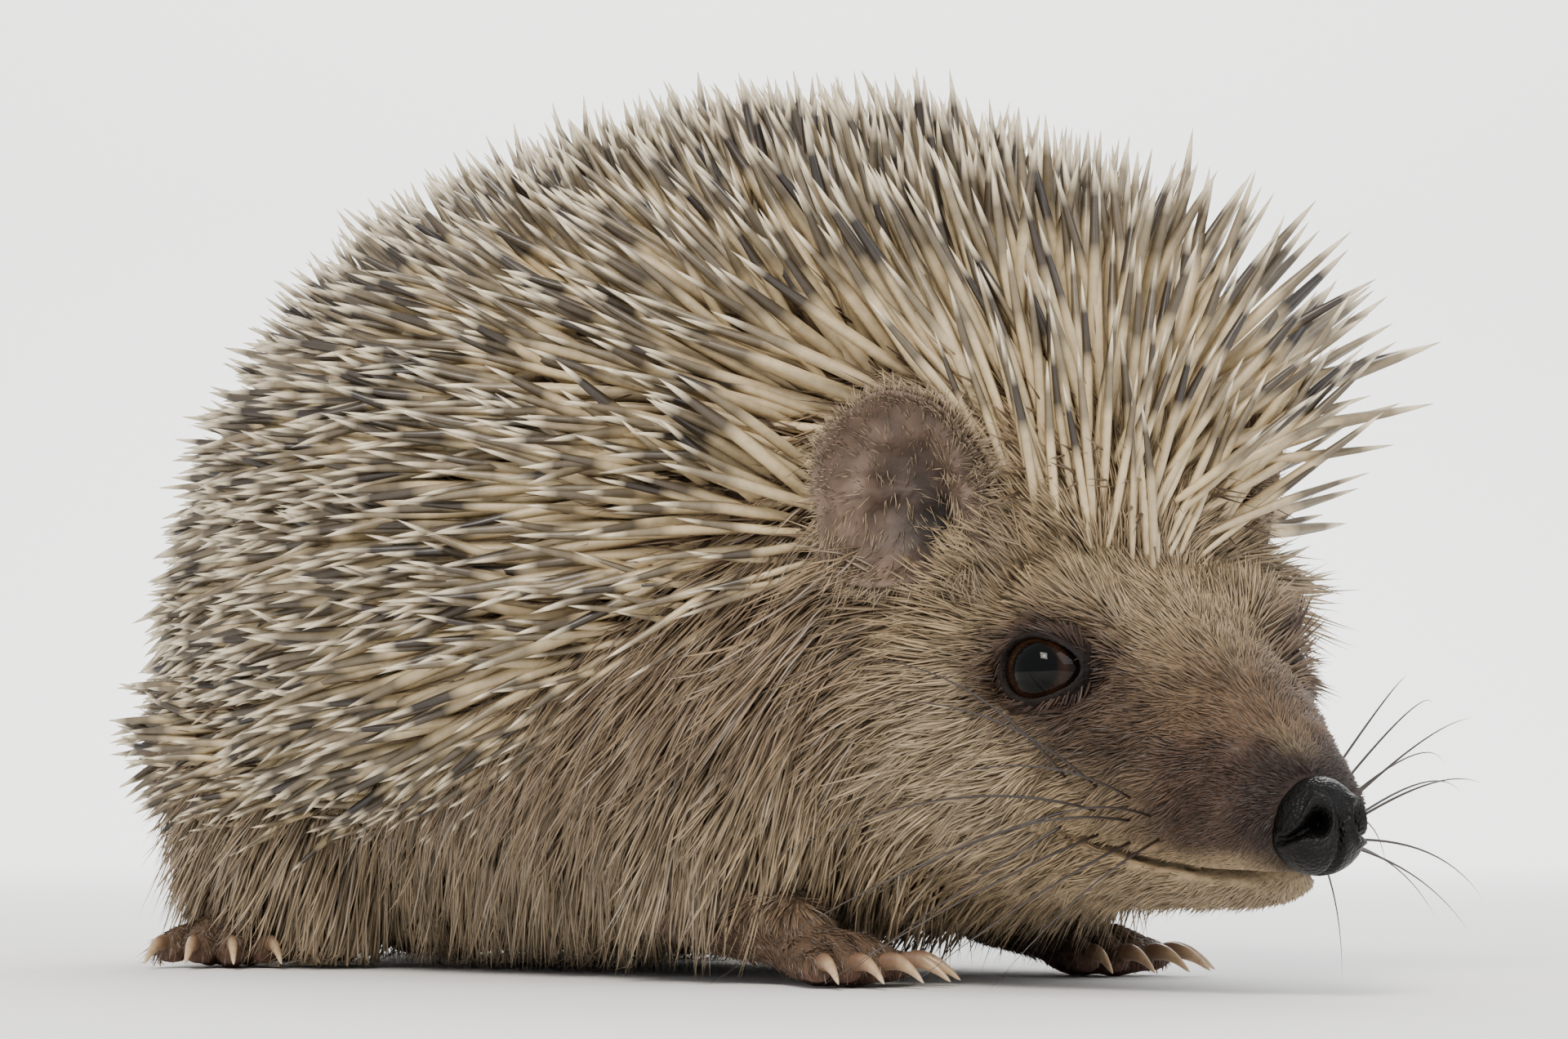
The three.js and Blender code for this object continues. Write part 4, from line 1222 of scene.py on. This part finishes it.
shade = random.uniform(0.72, 1.2, len(root))[:, None, None] * (1 + 0.12 * rough(root, 12, 25)[:, :1, None])
ramp = np.array((0.62, 0.86, 1.06, 1.28))[None, :, None]
tints = np.clip(coat_colour(root)[:, None] * ramp * shade, 0, 1)
lot = random.random(len(root))[:, None, None]
tints = np.where(lot < 0.13, tints * 0.8 + 0.1 * (1 - 0.7 * face[:, None, None]), tints)
tints = np.where(lot > 0.84, tints * 0.5, tints)
flat_way = np.cross(lie, n)

# Dry coarse hair with a dull sheen, each lock its own shade.
fur_material, where = tinted("coarse_hair", 0.88, 500.0, Roughness=0.55, Specular_IOR_Level=0.35, IOR=1.55)
relief(fur_material, where, "TexNoise", 0.1, 0.0001, Scale=4000.0, Detail=1.0)
is_face = head[:, 0] > 66
is_snout = head[:, 0] > 89
is_leg = (near_leg(root) > 0.3) & (root[:, 2] < 16) & ~is_face
is_belly = (root[:, 2] < 22) & ~is_face & ~is_leg
is_head = (head[:, 0] > 44) & ~is_face & ~is_leg & ~is_belly
rest = ~(is_face | is_leg | is_belly | is_head)
pieces = {"fur_neck": is_head}
for side_name, side in SIDES:
    of_head, of_body = (head[:, 1] >= 0) == (side > 0), (root[:, 1] >= 0) == (side > 0)
    pieces["fur_snout_" + side_name] = is_face & is_snout & of_head
    pieces["fur_face_" + side_name] = is_face & ~is_snout & of_head
    pieces["fur_flank_" + side_name] = rest & of_body
    pieces["fur_belly_" + side_name] = is_belly & of_body
    pieces["fur_legs_" + side_name] = is_leg & of_body
for name, part in pieces.items():
    low_x, high_x = root[part, 0].min() - 1, root[part, 0].max() + 1
    piece = shafts(name, middle[part], radius[part], flat_way[part], 0.6, 3, tints[part],
                   patch_place(root[part], (0, 28), (low_x, high_x)))
    finish_piece(piece, fur_material, "fur")

# Sparse coarse hair between the spines, which hides the skin where they part.
root, n = scatter(ground, np.where(spiny(at) > 3, 0.22 + 0.35 * ease(-at[:, 0], 45, 75), 0.0), 61)
random = np.random.default_rng(62)
run = on_skin(np.array((-1.0, 0, -0.35)) * np.ones((len(root), 1)), n)
run = unit(run + 0.3 * random.normal(size=root.shape))
lie = raised(run, n, np.radians(random.uniform(25, 50, len(root))))
length = random.uniform(7.0, 11.0, len(root))
stops = np.array((0, 0.5, 1))
middle = centre_lines(root, lie, length, stops, 0.5)
root, n, lie, middle = only(~over_ear(middle, 9.5), root, n, lie, middle)
radius = 0.24 * random.uniform(0.8, 1.2, len(root))[:, None] * np.array((0.9, 0.8, 0))
tints = np.array(linear("6e5b47")) * random.uniform(0.6, 1.3, (len(root), 1, 1))
tints = tints * np.array((0.6, 0.9, 1.15))[None, :, None]
piece = shafts("fur_between_spines", middle, radius, np.cross(lie, n), 0.6, 3, tints,
               patch_place(root, (0, 38), (-105, 85)))
finish_piece(piece, fur_material, "fur")

# Sparse short hair on the ears: down on the back of the cup and a fringe round its rim.
for side_name, side in SIDES:
    ear_skin, opens = ear_ground[side_name]
    a, b, out, rim = on_ear(ear_skin[0])
    back_side = ease(-(ear_skin[1] @ opens), -0.1, 0.4)
    root, n = scatter(ear_skin, 2.2 * back_side + 3.4 * ease(rim, 0.86, 0.97) + 1.0 + 1.6 * ease(a, 2, 7), 31)
    random = np.random.default_rng(32)
    ear_middle = turned(np.array([EAR_AT * (1, side, 1)]))[0]
    fore_way, rise_way = turned_ways(np.array([EAR_FORE, EAR_RISE]) * (1, side, 1))
    from_middle = root - ear_middle
    run = unit(on_skin(unit(from_middle), n) + 0.35 * random.normal(size=root.shape) * 0.5)
    lie = raised(run, n, np.radians(random.uniform(12, 32, len(root))))
    length = random.uniform(0.9, 2.0, len(root)) * (1 + 0.6 * (random.random(len(root)) < 0.3))
    length *= 1 + 0.9 * ease(from_middle @ fore_way, 2, 8) + 0.5 * ease(-from_middle @ rise_way, 3, 9)
    stops = np.array((0, 0.5, 1))
    middle = root[:, None] + lie[:, None] * (stops[None, :, None] * length[:, None, None] - 0.1)
    radius = np.full((len(root), 1), 0.075) * np.array((0.9, 0.8, 0))
    tints = np.array(linear("a08d74"))[None, None] * random.uniform(0.6, 1.4, len(root))[:, None, None]
    tints = tints * np.array((0.7, 0.9, 1.1))[None, :, None]
    low, high = root.min(0) - 1, root.max(0) + 1
    uv = (root[:, [1, 2]] - low[[1, 2]]) / (high - low)[[1, 2]]
    uv[:, 0] = uv[:, 0] * 0.5 + np.where(n @ opens > 0, 0.0, 0.5)
    piece = shafts("fur_ear_" + side_name, middle, radius, np.cross(lie, n), 0.8, 3, tints,
                   np.clip(uv, 0.004, 0.996))
    finish_piece(piece, fur_material, "fur")

# ---------------------------------------------------------------- whiskers
# Stiff dark hairs, 20 to 40 mm long, thick at the root and drawn out to nothing. They grow in rows on the
# side of the snout, sweep out and back, and droop towards the ground.
random = np.random.default_rng(41)
WHISKERS = (  # root x, height, length, then the way out, fore and up that it leaves, and how far it droops
    (98.5, 19.5, 22, (0.25, 0.9, 0.2), 0.45), (98, 17.0, 20, (0.1, 0.85, -0.3), 0.5),
    (96.5, 21.5, 26, (0.1, 0.9, 0.45), 0.5), (95.5, 19.0, 28, (-0.05, 0.9, 0.15), 0.5),
    (94, 16.6, 25, (-0.2, 0.85, -0.5), 0.4), (92.5, 22.5, 31, (-0.05, 0.85, 0.55), 0.55),
    (91.5, 20.0, 33, (-0.2, 0.9, 0.25), 0.55), (90, 17.4, 30, (-0.35, 0.8, -0.5), 0.4),
    (88.5, 23.5, 30, (-0.1, 0.8, 0.7), 0.55), (87, 20.0, 31, (-0.45, 0.8, -0.25), 0.5),
    (86, 18.3, 26, (-0.5, 0.7, -0.7), 0.35),
)
skin_tree = BVHTree.FromPolygons([Vector(p) for p in ground[0]], [tuple(c) for c in ground[2]])
stops = np.linspace(0, 1, 15)
for side_name, side in SIDES:
    middle = []
    for x, z, long, way, droop in WHISKERS:
        start = turned(np.array([(x, 40.0 * side, z)]))[0]
        hit = skin_tree.ray_cast(Vector(start), Vector((0, -side, 0)))[0]
        way = np.array(way) + (np.array((0.12, 0, 0.34)) if side > 0 else np.array((0.16, 0, 0)))
        long = long * (0.98 if side > 0 else 1.25)
        aim = unit(way * (1, side, 1) + 0.06 * random.normal(size=3))
        aim = turned_ways(np.array([aim]))[0]
        curl = np.array((-0.45, -0.12 * side, -0.7)) * long * droop * random.uniform(0.8, 1.1)
        line = np.array(hit) + aim * (stops[:, None] * (long + 0.6) - 0.6)
        middle.append(line + curl * stops[:, None] ** 2.2)
    middle = np.array(middle)
    top = middle[:, :1, 2]
    drop = np.maximum(top - middle[:, :, 2].min(1, keepdims=True), 1e-3)
    middle[:, :, 2] = top + (middle[:, :, 2] - top) * np.minimum(1, (top - 0.7) / drop)
    radius = 0.18 * (1 - stops) ** 0.8 * np.ones((len(middle), 1))
    tints = np.tile(np.array(linear("2a201a")), (len(middle), 15, 1)) * (0.8 + 0.5 * stops)[None, :, None]
    uv = np.stack([np.linspace(0.1, 0.9, len(middle)), np.full(len(middle), 0.5)], 1)
    piece = shafts("whiskers_" + side_name, middle, radius, np.tile((0.0, 0, 1), (len(middle), 1)), 1.0, 6,
                   tints, uv)
    finish_piece(piece, spine_material, "fur")
